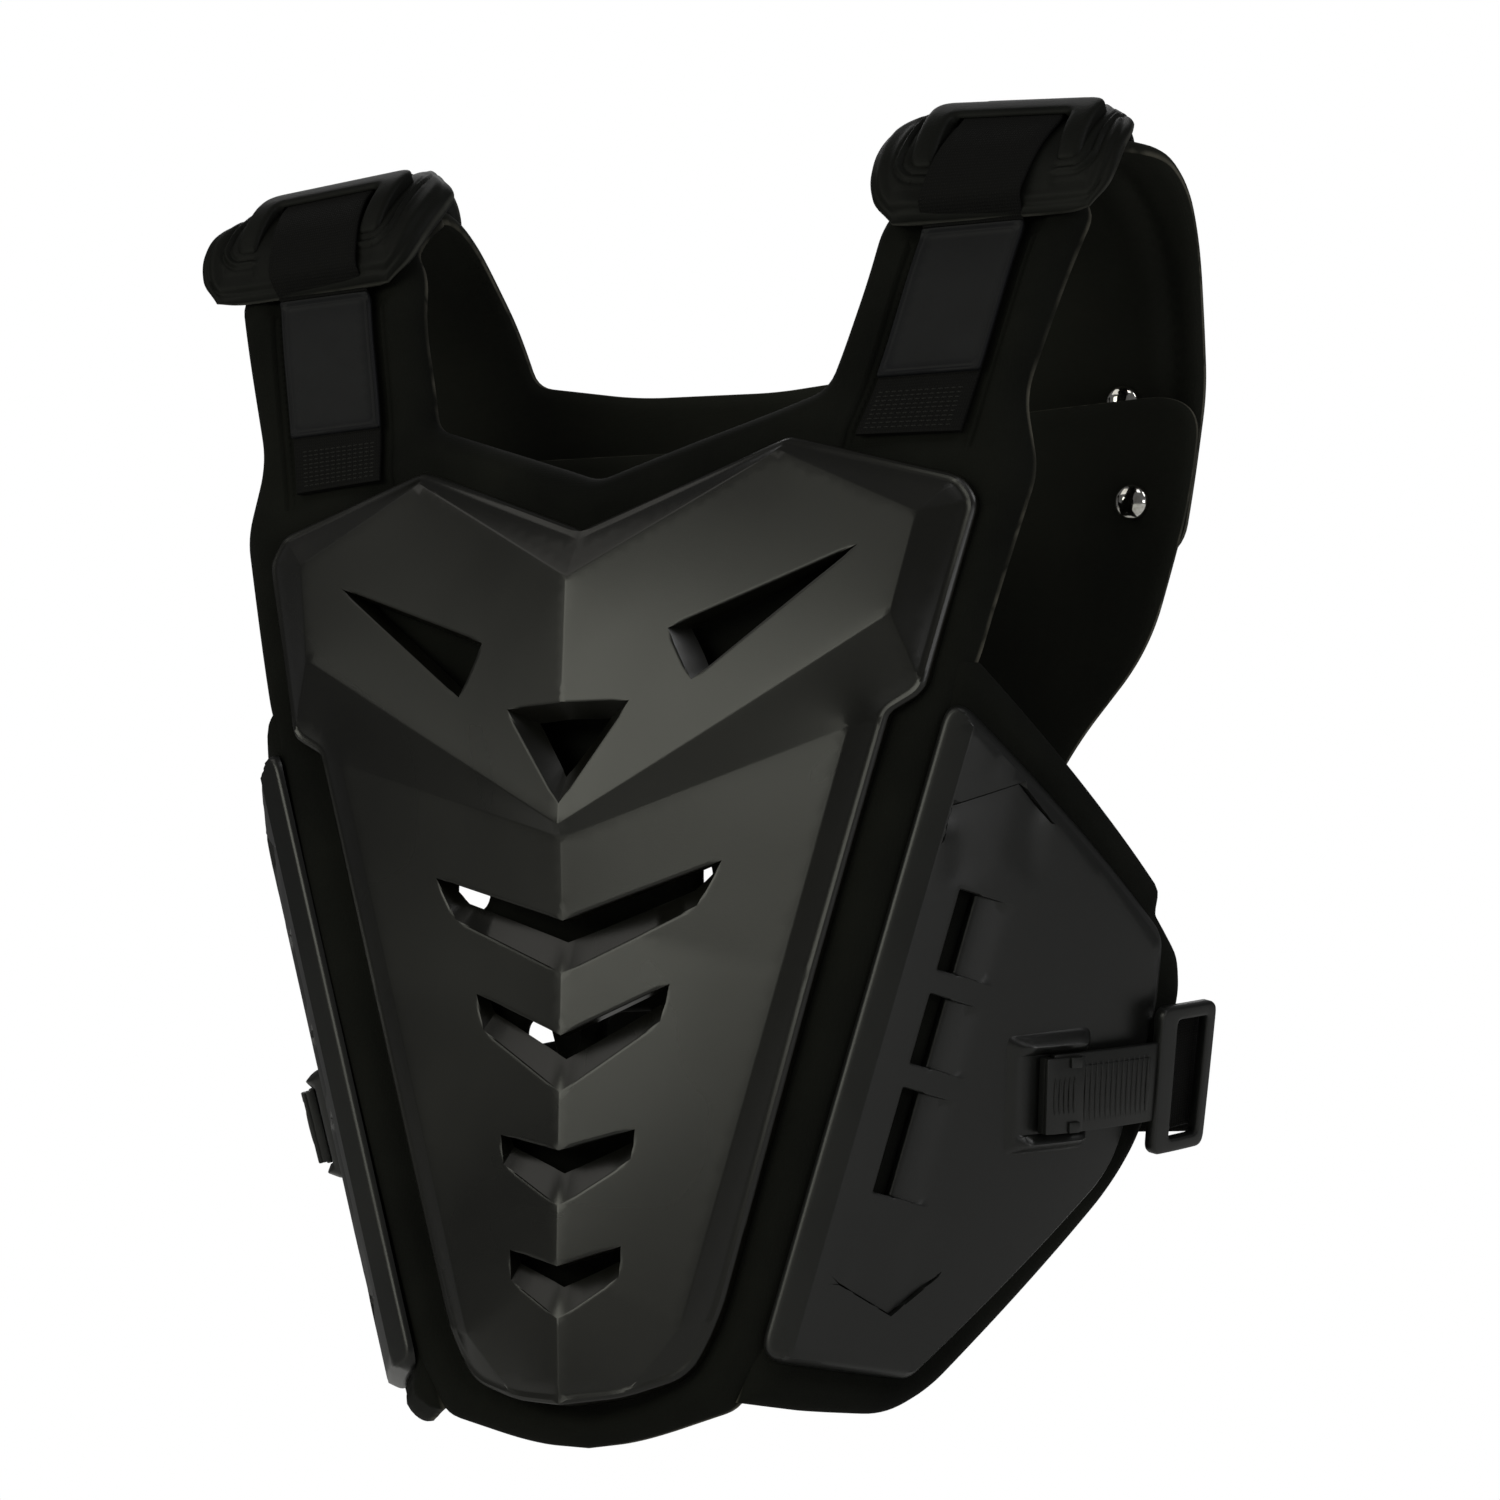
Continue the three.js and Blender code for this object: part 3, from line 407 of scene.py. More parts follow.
def bar(u0, u1, v0, v1, low, high, sheet, bevel=0.4, cuts=1):
    """A box with bevelled edges on a sheet, as points and faces."""
    box = bmesh.new()
    bmesh.ops.create_cube(box, size=1.0)
    centre = np.array([(u0 + u1) / 2, (v0 + v1) / 2, (low + high) / 2])
    size = np.array([u1 - u0, v1 - v0, high - low])
    for vertex in box.verts:
        vertex.co = Vector(np.array(vertex.co) * size + centre)
    if cuts > 1:
        across = [e for e in box.edges if abs(e.verts[0].co.y - e.verts[1].co.y) > 1e-6]
        bmesh.ops.subdivide_edges(box, edges=across, cuts=cuts, use_grid_fill=True)
    sharp = [e for e in box.edges if e.calc_face_angle(0) > 0.5]
    bmesh.ops.bevel(box, geom=sharp, offset=bevel, segments=2, profile=0.6, affect="EDGES")
    flat = np.array([v.co for v in box.verts])
    box.verts.index_update()
    faces = [[v.index for v in face.verts] for face in box.faces]
    box.free()
    return sheet(flat[:, 0], flat[:, 1], flat[:, 2]), faces


# Finishes


def linear(code):
    """An sRGB hex colour as linear RGBA."""
    channels = [int(code[i:i + 2], 16) / 255 for i in (0, 2, 4)]
    return [c / 12.92 if c <= 0.04045 else ((c + 0.055) / 1.055) ** 2.4 for c in channels] + [1.0]


def node(tree, kind, settings=None, values=None, links=None, stops=()):
    """Adds one node: its settings, socket values, links from other sockets, and a ramp's colours."""
    made = tree.nodes.new(kind)
    for key, value in (settings or {}).items():
        setattr(made, key, value)
    for key, value in (values or {}).items():
        made.inputs[key].default_value = value
    for key, source in (links or {}).items():
        tree.links.new(source, made.inputs[key])
    for k, (place, code) in enumerate(stops):
        made.color_ramp.elements[k].position = place
        made.color_ramp.elements[k].color = linear(code)
    return made


def new_finish(name, roughness, **values):
    """A finish with its node tree and its shader, which takes the values."""
    finish = bpy.data.materials.new(name)
    finish.use_nodes = True
    tree = finish.node_tree
    shader = tree.nodes["Principled BSDF"]
    shader.inputs["Roughness"].default_value = roughness
    for key, value in values.items():
        shader.inputs[key.replace("_", " ")].default_value = value
    return finish, tree, shader


def feed(tree, shader, **sources):
    """Links sources to the shader's sockets."""
    for key, source in sources.items():
        tree.links.new(source, shader.inputs[key.replace("_", " ")])


# Scales of patterns on coordinates in metres: 1000 by the size of a cell in mm
KNIT, RUB = 900.0, 18.0  # loops 1.1 mm apart, coarser than the real 0.7 mm so that they show; 55 mm
CUT_WEAR = 45.0  # 22 mm
FLOW, SPARK_GRAIN = 9.0, 1600.0  # 110 mm, 0.6 mm
FOAM_CELLS, SKIN_CLOUD = 1100.0, 25.0  # 0.9 mm, 40 mm
PATCH_CLOUD, PATCH_GRAIN = 60.0, 1400.0  # 17 mm, 0.7 mm
HANDLING = 700.0  # 1.4 mm
THREAD_TWIST = 520.0  # a diagonal wave, 0.7 mm
WAVE = 0.314  # a wave of scale 1 repeats every 0.314 m
RIBS, YARNS = WAVE / 1.4 * 1000, WAVE / 1.0 * 1000  # 1.4 mm, 1.0 mm


def with_raw_edge(tree, place, colour, pale):
    """The colour with the paler foam of a cut edge, which shows in places 10 to 30 mm long."""
    cut = node(tree, "ShaderNodeAttribute", {"attribute_name": "raw_edge"}).outputs["Fac"]
    wear = node(tree, "ShaderNodeTexNoise", None, {"Scale": CUT_WEAR, "Detail": 3.0}, {"Vector": place})
    shows = node(tree, "ShaderNodeMapRange", None,
                 {"From Min": 0.38, "From Max": 0.6, "To Min": 0.25, "To Max": 1.0},
                 {"Value": wear.outputs["Fac"]})
    share = node(tree, "ShaderNodeMath", {"operation": "MULTIPLY"}, None,
                 {0: cut, 1: shows.outputs["Result"]})
    mixed = node(tree, "ShaderNodeMix", {"data_type": "RGBA"}, {"B": linear(pale)},
                 {"Factor": share.outputs["Value"], "A": colour})
    return mixed.outputs["Result"]


def foam_fabric(name, dark, light):
    """Nylon knit bonded to foam: dull black with a fine mesh of loops, paler where it is cut."""
    finish, tree, shader = new_finish(name, 0.85, Specular_IOR_Level=0.1)
    place = node(tree, "ShaderNodeTexCoord").outputs["Object"]
    knit = node(tree, "ShaderNodeTexVoronoi", {"distance": "CHEBYCHEV"},
                {"Scale": KNIT, "Randomness": 0.25}, {"Vector": place})
    rub = node(tree, "ShaderNodeTexNoise", None, {"Scale": RUB, "Detail": 4.0}, {"Vector": place})
    cloth = node(tree, "ShaderNodeValToRGB", links={"Fac": rub.outputs["Fac"]},
                 stops=[(0.35, dark), (0.7, light)])
    whole = with_raw_edge(tree, place, cloth.outputs["Color"], "57554c")
    loops = node(tree, "ShaderNodeBump", None, {"Strength": 0.35, "Distance": 0.0004},
                 {"Height": knit.outputs["Distance"]})
    soft = node(tree, "ShaderNodeBump", None, {"Strength": 0.25, "Distance": 0.0015},
                {"Height": rub.outputs["Fac"], "Normal": loops.outputs["Normal"]})
    feed(tree, shader, Base_Color=whole, Normal=soft.outputs["Normal"])
    return finish


def moulded_plastic(name, dark, light, roughness, grain):
    """Injection moulded polyethylene: satin, with a spark grain and a faint cloud of flow marks."""
    finish, tree, shader = new_finish(name, roughness, IOR=1.5)
    place = node(tree, "ShaderNodeTexCoord").outputs["Object"]
    flow = node(tree, "ShaderNodeTexNoise", None, {"Scale": FLOW, "Detail": 3.0, "Distortion": 0.6},
                {"Vector": place})
    colour = node(tree, "ShaderNodeValToRGB", links={"Fac": flow.outputs["Fac"]},
                  stops=[(0.3, dark), (0.72, light)])
    dull = node(tree, "ShaderNodeMapRange", None,
                {"From Min": 0.3, "From Max": 0.7, "To Min": roughness - 0.04, "To Max": roughness + 0.05},
                {"Value": flow.outputs["Fac"]})
    pits = node(tree, "ShaderNodeTexNoise", None, {"Scale": SPARK_GRAIN, "Detail": 2.0}, {"Vector": place})
    bump = node(tree, "ShaderNodeBump", None, {"Strength": grain, "Distance": 0.0002},
                {"Height": pits.outputs["Fac"]})
    feed(tree, shader, Base_Color=colour.outputs["Color"], Roughness=dull.outputs["Result"],
         Normal=bump.outputs["Normal"])
    return finish


def moulded_foam():
    """Heat moulded EVA foam with a thin fabric skin: soft black, finer than the pads' knit."""
    finish, tree, shader = new_finish("heat moulded EVA", 0.55, Specular_IOR_Level=0.12)
    place = node(tree, "ShaderNodeTexCoord").outputs["Object"]
    cells = node(tree, "ShaderNodeTexNoise", None, {"Scale": FOAM_CELLS, "Detail": 3.0}, {"Vector": place})
    cloud = node(tree, "ShaderNodeTexNoise", None, {"Scale": SKIN_CLOUD, "Detail": 3.0}, {"Vector": place})
    skin = node(tree, "ShaderNodeValToRGB", links={"Fac": cloud.outputs["Fac"]},
                stops=[(0.35, "0c0d0a"), (0.7, "141512")])
    whole = with_raw_edge(tree, place, skin.outputs["Color"], "44443f")
    bump = node(tree, "ShaderNodeBump", None, {"Strength": 0.3, "Distance": 0.0003},
                {"Height": cells.outputs["Fac"]})
    feed(tree, shader, Base_Color=whole, Normal=bump.outputs["Normal"])
    return finish


def woven_webbing():
    """Polyester webbing: ribs across the band with the yarns crossing them, dull."""
    finish, tree, shader = new_finish("polyester webbing", 0.8, Specular_IOR_Level=0.14)
    band = node(tree, "ShaderNodeUVMap", {"uv_map": "band"}).outputs["UV"]
    ribs = node(tree, "ShaderNodeTexWave", {"bands_direction": "Y"}, {"Scale": RIBS}, {"Vector": band})
    yarns = node(tree, "ShaderNodeTexWave", {"bands_direction": "X"},
                 {"Scale": YARNS, "Distortion": 0.6}, {"Vector": band})
    weave = node(tree, "ShaderNodeMath", {"operation": "MULTIPLY"}, None,
                 {0: ribs.outputs["Fac"], 1: yarns.outputs["Fac"]})
    colour = node(tree, "ShaderNodeValToRGB", links={"Fac": weave.outputs["Value"]},
                  stops=[(0.0, "090908"), (1.0, "141413")])
    bump = node(tree, "ShaderNodeBump", None, {"Strength": 0.5, "Distance": 0.0004},
                {"Height": weave.outputs["Value"]})
    feed(tree, shader, Base_Color=colour.outputs["Color"], Normal=bump.outputs["Normal"])
    return finish


def patch_rubber():
    """Soft PVC: smooth and slightly blue, with a satin face."""
    finish, tree, shader = new_finish("soft PVC", 0.55, Specular_IOR_Level=0.2)
    place = node(tree, "ShaderNodeTexCoord").outputs["Object"]
    cloud = node(tree, "ShaderNodeTexNoise", None, {"Scale": PATCH_CLOUD, "Detail": 4.0}, {"Vector": place})
    colour = node(tree, "ShaderNodeValToRGB", links={"Fac": cloud.outputs["Fac"]},
                  stops=[(0.3, "0b0c0f"), (0.7, "101114")])
    fine = node(tree, "ShaderNodeTexNoise", None, {"Scale": PATCH_GRAIN}, {"Vector": place})
    bump = node(tree, "ShaderNodeBump", None, {"Strength": 0.15, "Distance": 0.0002},
                {"Height": fine.outputs["Fac"]})
    feed(tree, shader, Base_Color=colour.outputs["Color"], Normal=bump.outputs["Normal"])
    return finish


def plated_steel():
    """Nickel-chrome plate on a steel cap: a mirror with faint handling marks."""
    finish, tree, shader = new_finish("chrome plate", 0.07, Metallic=1.0)
    place = node(tree, "ShaderNodeTexCoord").outputs["Object"]
    marks = node(tree, "ShaderNodeTexNoise", None, {"Scale": HANDLING, "Detail": 5.0}, {"Vector": place})
    colour = node(tree, "ShaderNodeValToRGB", links={"Fac": marks.outputs["Fac"]},
                  stops=[(0.3, "c9c6bd"), (0.6, "e4e3df")])
    dull = node(tree, "ShaderNodeMapRange", None,
                {"From Min": 0.35, "From Max": 0.7, "To Min": 0.04, "To Max": 0.14},
                {"Value": marks.outputs["Fac"]})
    feed(tree, shader, Base_Color=colour.outputs["Color"], Roughness=dull.outputs["Result"])
    return finish


def sewing_thread():
    """Bonded nylon thread: black with a slight gloss, and twisted."""
    finish, tree, shader = new_finish("bonded nylon thread", 0.5, Specular_IOR_Level=0.15)
    place = node(tree, "ShaderNodeTexCoord").outputs["Object"]
    twist = node(tree, "ShaderNodeTexWave", {"bands_direction": "DIAGONAL"}, {"Scale": THREAD_TWIST},
                 {"Vector": place})
    colour = node(tree, "ShaderNodeValToRGB", links={"Fac": twist.outputs["Fac"]},
                  stops=[(0.0, "171716"), (1.0, "282826")])
    feed(tree, shader, Base_Color=colour.outputs["Color"])
    return finish


FOAM = foam_fabric("nylon knit on foam", "0c0d0a", "161713")
# The back pads' foam: the same nylon knit as the front pads, with lighter colours as painted fill light,
# because the inside of the vest lies in shade
FOAM_PAINTED_LIGHTER = foam_fabric("knit on foam painted lighter for shade", "1e1f1b", "242520")
CHEST_PLASTIC = moulded_plastic("satin polyethylene", "0c0c09", "11110c", 0.29, 0.08)
SIDE_PLASTIC = moulded_plastic("matt polyethylene", "0f100f", "141513", 0.34, 0.12)
EVA = moulded_foam()
WEBBING = woven_webbing()
PVC = patch_rubber()
CHROME = plated_steel()
THREAD = sewing_thread()

# Foam pads

PAD = 10.0
FRONT_HALF = [  # x, along, rounding
    (0, 8, 6), (84, 42, 7), (96, 86, 12), (99, 108, 8), (108, 124, 6), (109, 157, 3), (166, 157, 3),
    (168, 124, 6), (181, 106, 6), (160, 36, 10), (166, 7, 8), (148, -62, 4), (*FOLD_TOP, 3),
    (*FOLD_LOW, 3), (59, -332, 5), (22, -343, 16), (0, -345, 0),
]
WING_PAD = [  # down, back, rounding
    (-21, 0, 0), (-21, 8, 3), (37, 119.5, 3), (46, 121, 2), (58, 141, 5), (72, 149, 10), (126, 149, 12),
    (148, 140, 12), (236, 76, 8), (249, 60, 10), (254, 32, 8), (259, 0, 0),
]
YOKE_HALF = [
    (0, 274, 10), (60, 271, 12), (104, 262, 7), (112, 215, 12), (112, 164, 3), (166, 164, 3),
    (170, 172, 4), (188, 186, 8), (190, 206, 10), (186, 262, 14), (185, 290, 10), (178, 325, 12),
    (172, 352, 14), (0, 356, 0),
]
LOWER_BACK_HALF = [
    (0, 296, 8), (120, 292, 14), (190, 291, 24), (183, 332, 18), (164, 391, 18), (124, 434, 30),
    (87, 525, 24), (72, 574, 22), (0, 580, 0),
]
FRONT_HOLES = [(51.5, -139, 7.5, 8.5), (16.5, -195, 11.5, 7.5)]  # x, along, half width, half height
BACK_HOLES = [(38, 467, 13, 11)]
RIVET_NEST, LOWER_PAD = 6.0, 8.0
PAD_ROWS = (0.3, 0.9, 1.9, 3.4, 5.6, 8.4)  # rows of points along a pad's edge
WELD = 0.9  # how far the welded edge reaches past the outline
OUTER_ROUND, OUTER_DROP = 9.5, 0.7  # the outer face's edge, and its drop as a share of the pad
INNER_ROUND, INNER_DROP = 5.0, 0.22
ROLL_AT, ROLL_WIDTH = 10.0, 5.0  # a soft roll beside the edge
RAW_WIDTH = 0.3  # of the cut that shows
THINNEST = 0.5
PLATE_SINK, VENT_SINK, SIDE_SINK = 2.6, 7.6, 0.8  # foam under the plates and behind the vents
CHANNEL_LINES = (21.6, 23.6, 26.4)  # from the webbing's middle; ridges stand on the last two
CHANNEL_DEPTH, CHANNEL_HALF = 2.6, 28.6


def hole_loops(holes):
    """Round-ended holes on both sides."""
    spans = [(side * x, v, a, b) for x, v, a, b in holes for side in (-1, 1)]
    return [box_loop(x - a, x + a, v - b, v + b, min(a, b)) for x, v, a, b in spans]


def pad_shell(loops, sheet, thick, high=0.0, puff=1.0, spacing=3.4, lower=None, lines=(), hollow=None):
    """A foam pad cut to loops: full in the middle, falling to a thin welded edge. lower sinks its
    outer face and hollow its inner one."""
    loops = [outset(loops[0], WELD), *loops[1:]]
    flat, triangles, away = fill_flat(loops, spacing, PAD_ROWS, lines, 0.8)
    top = high - OUTER_DROP * thick * (1 - arc(near_edge(away, OUTER_ROUND)))
    top = top + puff * ridge(away, ROLL_AT, ROLL_WIDTH)
    if lower is not None:
        top = top - lower(flat) * np.clip(away / 6.0, 0, 1)
    bottom = high - thick + INNER_DROP * thick * near_edge(away, INNER_ROUND) ** 2
    if hollow is not None:
        bottom = bottom + hollow(flat)
    points, faces = shell_on(sheet, flat, triangles, top, np.minimum(bottom, top - THINNEST))
    raw = np.tile(near_edge(distance_to(flat, loops[:1]), RAW_WIDTH), 2)
    return points, faces, raw


def front_pad():
    seat = plate_outline()
    sides = rounded([(u, v, cut) for u, v, cut, _ in SIDE_PLATE])

    def beside_plate(flat):
        gap = distance_to(flat, [seat])
        sunk = np.where(inside(flat, [seat]), PLATE_SINK, PLATE_SINK * ridge(gap, 0.0, 5.0))
        for mouth, _, _ in vents()[:3]:
            near = np.where(inside(flat, [mouth]), 0.0, distance_to(flat, [mouth]))
            sunk = np.maximum(sunk, VENT_SINK * np.clip(1.5 - near / 8.0, 0, 1))
        return sunk + strap_channel(flat)

    def beside_side(flat):
        gap = distance_to(flat, [sides])
        return np.where(inside(flat, [sides]), SIDE_SINK, 2 * SIDE_SINK * ridge(gap, 0.0, 4.0))

    loops = [rounded(both_halves(FRONT_HALF)), *hole_loops(FRONT_HOLES)]
    chest = pad_shell(loops, torso, PAD, lower=beside_plate, lines=channel_lines())
    left = pad_shell([rounded(WING_PAD)], wing, PAD, lower=beside_side)
    right = mirrored(*left[:2])
    points, faces = joined(chest[:2], left[:2], right)
    raw = np.concatenate([chest[2], left[2], left[2]])
    pad = piece("front_pad_foam", points, faces, FOAM, "foam_fabric", ["front_pad"],
                marks={"raw_edge": raw})


def channel_lines():
    """Lines at either side of each patch, which the pressed ridges follow."""
    along = np.arange(14.0, 98.0, 3.0)
    return [
        np.stack([side * (strap_middle(along) + way * off), along], 1)
        for way in (1, -1) for side in (-1, 1) for off in CHANNEL_LINES
    ]


def strap_channel(flat):
    """The pressed channel that the webbing and its patch lie in, with two fine ridges along each side."""
    along = flat[:, 1]
    off = np.abs(np.abs(flat[:, 0]) - strap_middle(along))
    depth = CHANNEL_DEPTH * np.clip((CHANNEL_HALF - off) / 3.0, 0, 1)
    for line in CHANNEL_LINES[1:]:
        depth = depth - 1.5 * ridge(off, line, 0.7)
    return depth * np.clip((along - 10.0) / 8.0, 0, 1) * np.clip((128.0 - along) / 10.0, 0, 1)


def yoke_crease(flat):
    """Depth of the soft crease where the yoke bends round the shoulder blade, with a fold beside it."""
    line = 170.0 + 5.0 * np.sin((flat[:, 1] - 190.0) / 40.0)
    off = np.abs(flat[:, 0]) - line
    ends = np.clip((flat[:, 1] - 176.0) / 25.0, 0, 1) * np.clip((330.0 - flat[:, 1]) / 50.0, 0, 1)
    return ends * (2.6 * ridge(off, 0.0, 3.2) - 1.2 * ridge(off, -9.0, 6.0))


def back_pads():
    # Both back pads take the lighter foam, whose colour is painted fill light for the shaded inside of the
    # vest
    upper = pad_shell([rounded(both_halves(YOKE_HALF))], torso, PAD, puff=0.6, hollow=yoke_crease)
    yoke = piece("back_pad_upper_foam", *upper[:2], FOAM_PAINTED_LIGHTER, "foam_fabric", ["back_pad_upper"],
                 marks={"raw_edge": upper[2]})
    loops = [rounded(both_halves(LOWER_BACK_HALF)), *hole_loops(BACK_HOLES)]
    lower = pad_shell(loops, torso, LOWER_PAD, high=-PAD - RIVET_NEST, puff=0.4)
    pad = piece("back_pad_lower_foam", *lower[:2], FOAM_PAINTED_LIGHTER, "foam_fabric", ["back_pad_lower"],
                marks={"raw_edge": lower[2]})


# Chest plate

RIM = 1.2  # the plate's edge lies pressed into the foam
SHELL = 2.6
PLATE_SPACING = 3.6
PLATE_ROWS = (0.3, 0.7, 1.4, 2.2, 3.0, 3.8, 4.8)  # rows of points along the plate's edges
EYE_DEPTH, NOSE_DEPTH, CHEVRON_DEPTH = 9.0, 6.0, 5.0
PLATE = {  # x and z on the chest, height over the pad
    "notch": (0, -12.8, 4.2), "apex": (77, 19.3, 3.6), "corner_in": (143, 2.5, 2),
    "corner_out": (149.5, -7, RIM), "low": (132.2, -76.9, RIM), "step": (119.2, -84.4, RIM),
    "flank": (92.1, -176, RIM), "heel_up": (56, -301, RIM), "heel_low": (45, -321, 1.8),
    "sole": (22, -328.5, 8.5), "keel": (0, -331, 16), "ridge": (0, -32.4, 14.5),
    "brow": (75.7, 12.5, 7), "temple": (129.7, -11.9, 6.5), "cheek": (122.4, -49.6, 9),
    "beak": (0, -123, 21), "tier": (0, -127, 18.6), "crest": (106.2, -89.8, 5.4),
    "crest_mid": (80.8, -176.7, 5.4), "crest_low": (44, -304, 8), "spine_up": (0, -155.8, 17.6),
    "spine_low": (0, -281, 18.8),
}
PLATE_FACETS = [
    "notch apex brow ridge",
    "apex corner_in temple brow",
    "corner_in corner_out temple",
    "corner_out low cheek temple",
    "ridge brow temple cheek beak",
    "cheek low step crest tier beak",
    "step flank crest_mid crest",
    "flank heel_up crest_low crest_mid",
    "crest_low heel_up heel_low sole",
    "spine_up tier crest crest_mid",
    "crest_mid crest_low spine_low spine_up",
    "spine_low crest_low sole keel",
]
PLATE_EDGE = [  # corners of the outline with their rounding
    ("notch", 0), ("apex", 4), ("corner_in", 5), ("corner_out", 5), ("low", 5), ("step", 2),
    ("flank", 0), ("heel_up", 10), ("heel_low", 9), ("sole", 6), ("keel", 0),
]
SPINE = {"notch", "ridge", "beak", "tier", "spine_up", "spine_low", "keel"}
FAINT = ({"crest_mid", "spine_up"}, {"crest_low", "spine_low"})  # folds too slight for a crease
EYE = [(108.4, -21.9), (38.8, -49.8), (48.5, -69.5)]
NOSE = [(25.4, -76.1), (-25.4, -76.1), (0, -113.3)]
EYE_TAPER, NOSE_TAPER = 0.8, 0.58
CREASE_STOP, SPINE_STOP, NOSE_STOP = 4.5, 0.5, 0.6  # how far creases end from corners and the nose
AROUND = 8  # points round each point that soften a crease
CREASE_ROUND, CREASE_BESIDE = 0.3, 0.5
LIP, LIP_DROP, LIP_FADE = 0.8, 0.6, 6.0  # rounded edge, which fades near the vents' corners
CHEVRONS = [  # tip x and z, heel x and z, top z, low z, slope of the lower wall
    (59.4, -135.8, 50, -152, -155.8, -174.9, 11.5),
    (40, -180, 36.6, -193.5, -197.7, -218.1, 12),
    (27.7, -232.4, 26.2, -243.2, -239.5, -259.6, 12),
    (22.8, -274.5, 22.2, -285.5, -281.3, -300.1, 11.5),
]


def plate_corner(name):
    return torso(*PLATE[name])


def plate_outline():
    """The chest plate's edge, as x and z."""
    half = [(*plate_corner(name)[[0, 2]], cut) for name, cut in PLATE_EDGE]
    return rounded(both_halves(half), 1.0)


def mean_value(points, ring):
    """Mean value weights of ring corners at points inside the ring."""
    away = ring[None] - points[:, None]
    length = np.maximum(np.linalg.norm(away, axis=2), 1e-9)
    after, longer = np.roll(away, -1, 1), np.roll(length, -1, 1)
    cross = away[..., 0] * after[..., 1] - away[..., 1] * after[..., 0]
    dot = (away * after).sum(2)
    tangent = (length * longer - dot) / np.where(np.abs(cross) < 1e-9, 1e-9, cross)
    weight = (np.roll(tangent, 1, 1) + tangent) / length
    return weight / weight.sum(1, keepdims=True)


def plate_depth(points):
    """y of the chest plate's face at (x, z) points, facet by facet."""
    depth = np.full(len(points), np.nan)
    folded = np.stack([np.abs(points[:, 0]), points[:, 1]], 1)
    for facet in PLATE_FACETS:
        ring = np.array([plate_corner(name) for name in facet.split()])
        flat = ring[:, [0, 2]]
        middle = flat.mean(0)
        near = folded + (middle - folded) * 2e-5
        hit = np.isnan(depth) & inside(near, [flat])
        if hit.any():
            depth[hit] = mean_value(near[hit], flat) @ ring[:, 1]
    return depth


def soft_depth(points):
    """The face's depth, with its creases rounded by averaging round each point."""
    total, count = np.zeros(len(points)), np.zeros(len(points))
    for angle in np.linspace(0, 2 * math.pi, AROUND, endpoint=False):
        depth = plate_depth(points + CREASE_ROUND * np.array([math.cos(angle), math.sin(angle)]))
        total += np.nan_to_num(depth)
        count += ~np.isnan(depth)
    own = plate_depth(points)
    mean = np.where(count > 0, total / np.maximum(count, 1), own)
    full = np.where(count == AROUND, mean, own)
    return np.where(np.isnan(full), mean, full)


def chevron_loops(row):
    """A chevron vent's loop in the face, and its loop behind, where the lower wall has risen."""
    tip_x, tip_z, heel_x, heel_z, top, low, slope = row
    front = [(0, top), (tip_x, tip_z), (heel_x, heel_z), (0, low), (-heel_x, heel_z), (-tip_x, tip_z)]
    lift = [0, 0, 0.55 * slope, slope, 0.55 * slope, 0]
    draw = [1, 0.97, 0.94, 1, 0.94, 0.97]
    back = [(x * d, z + up) for (x, z), up, d in zip(front, lift, draw)]
    return np.array(front, float), np.array(back, float)


def vents():
    """Front loop, back loop and depth of each vent."""
    eye = np.array(EYE, float)
    nose = np.array(NOSE, float)
    eye_end = eye.mean(0) + (eye - eye.mean(0)) * EYE_TAPER
    found = [(eye, eye_end, EYE_DEPTH), (eye * (-1, 1), eye_end * (-1, 1), EYE_DEPTH)]
    found.append((nose, nose.mean(0) + (nose - nose.mean(0)) * NOSE_TAPER, NOSE_DEPTH))
    return found + [(*chevron_loops(row), CHEVRON_DEPTH) for row in CHEVRONS]


def plate_creases():
    """Facet edges in the face, stopped short of the outline and of the vents."""
    edges = set()
    for facet in PLATE_FACETS:
        names = facet.split()
        edges.update(tuple(sorted(pair)) for pair in zip(names, names[1:] + names[:1]))
    corners = [name for name, _ in PLATE_EDGE]
    rim = {tuple(sorted(pair)) for pair in zip(corners, corners[1:])}
    lines = []
    for one, two in sorted(edges - rim):
        if {one, two} <= SPINE or {one, two} in FAINT:
            continue
        ends = np.array([plate_corner(name)[[0, 2]] for name in (one, two)])
        way = (ends[1] - ends[0]) / np.linalg.norm(ends[1] - ends[0])
        cut = [CREASE_STOP if name in corners else 0.0 for name in (one, two)]
        ends = np.array([ends[0] + way * cut[0], ends[1] - way * cut[1]])
        lines.extend([ends, ends * (-1, 1)])
    heights = [plate_corner("notch")[2] - SPINE_STOP, NOSE[0][1] + NOSE_STOP, NOSE[2][1]]
    for _, _, _, _, top, low, _ in CHEVRONS:
        heights.extend([top, low])
    heights.append(plate_corner("keel")[2] + SPINE_STOP)
    for top, low in zip(heights[::2], heights[1::2]):
        lines.append(np.array([(0.0, top), (0.0, low)]))
    return lines


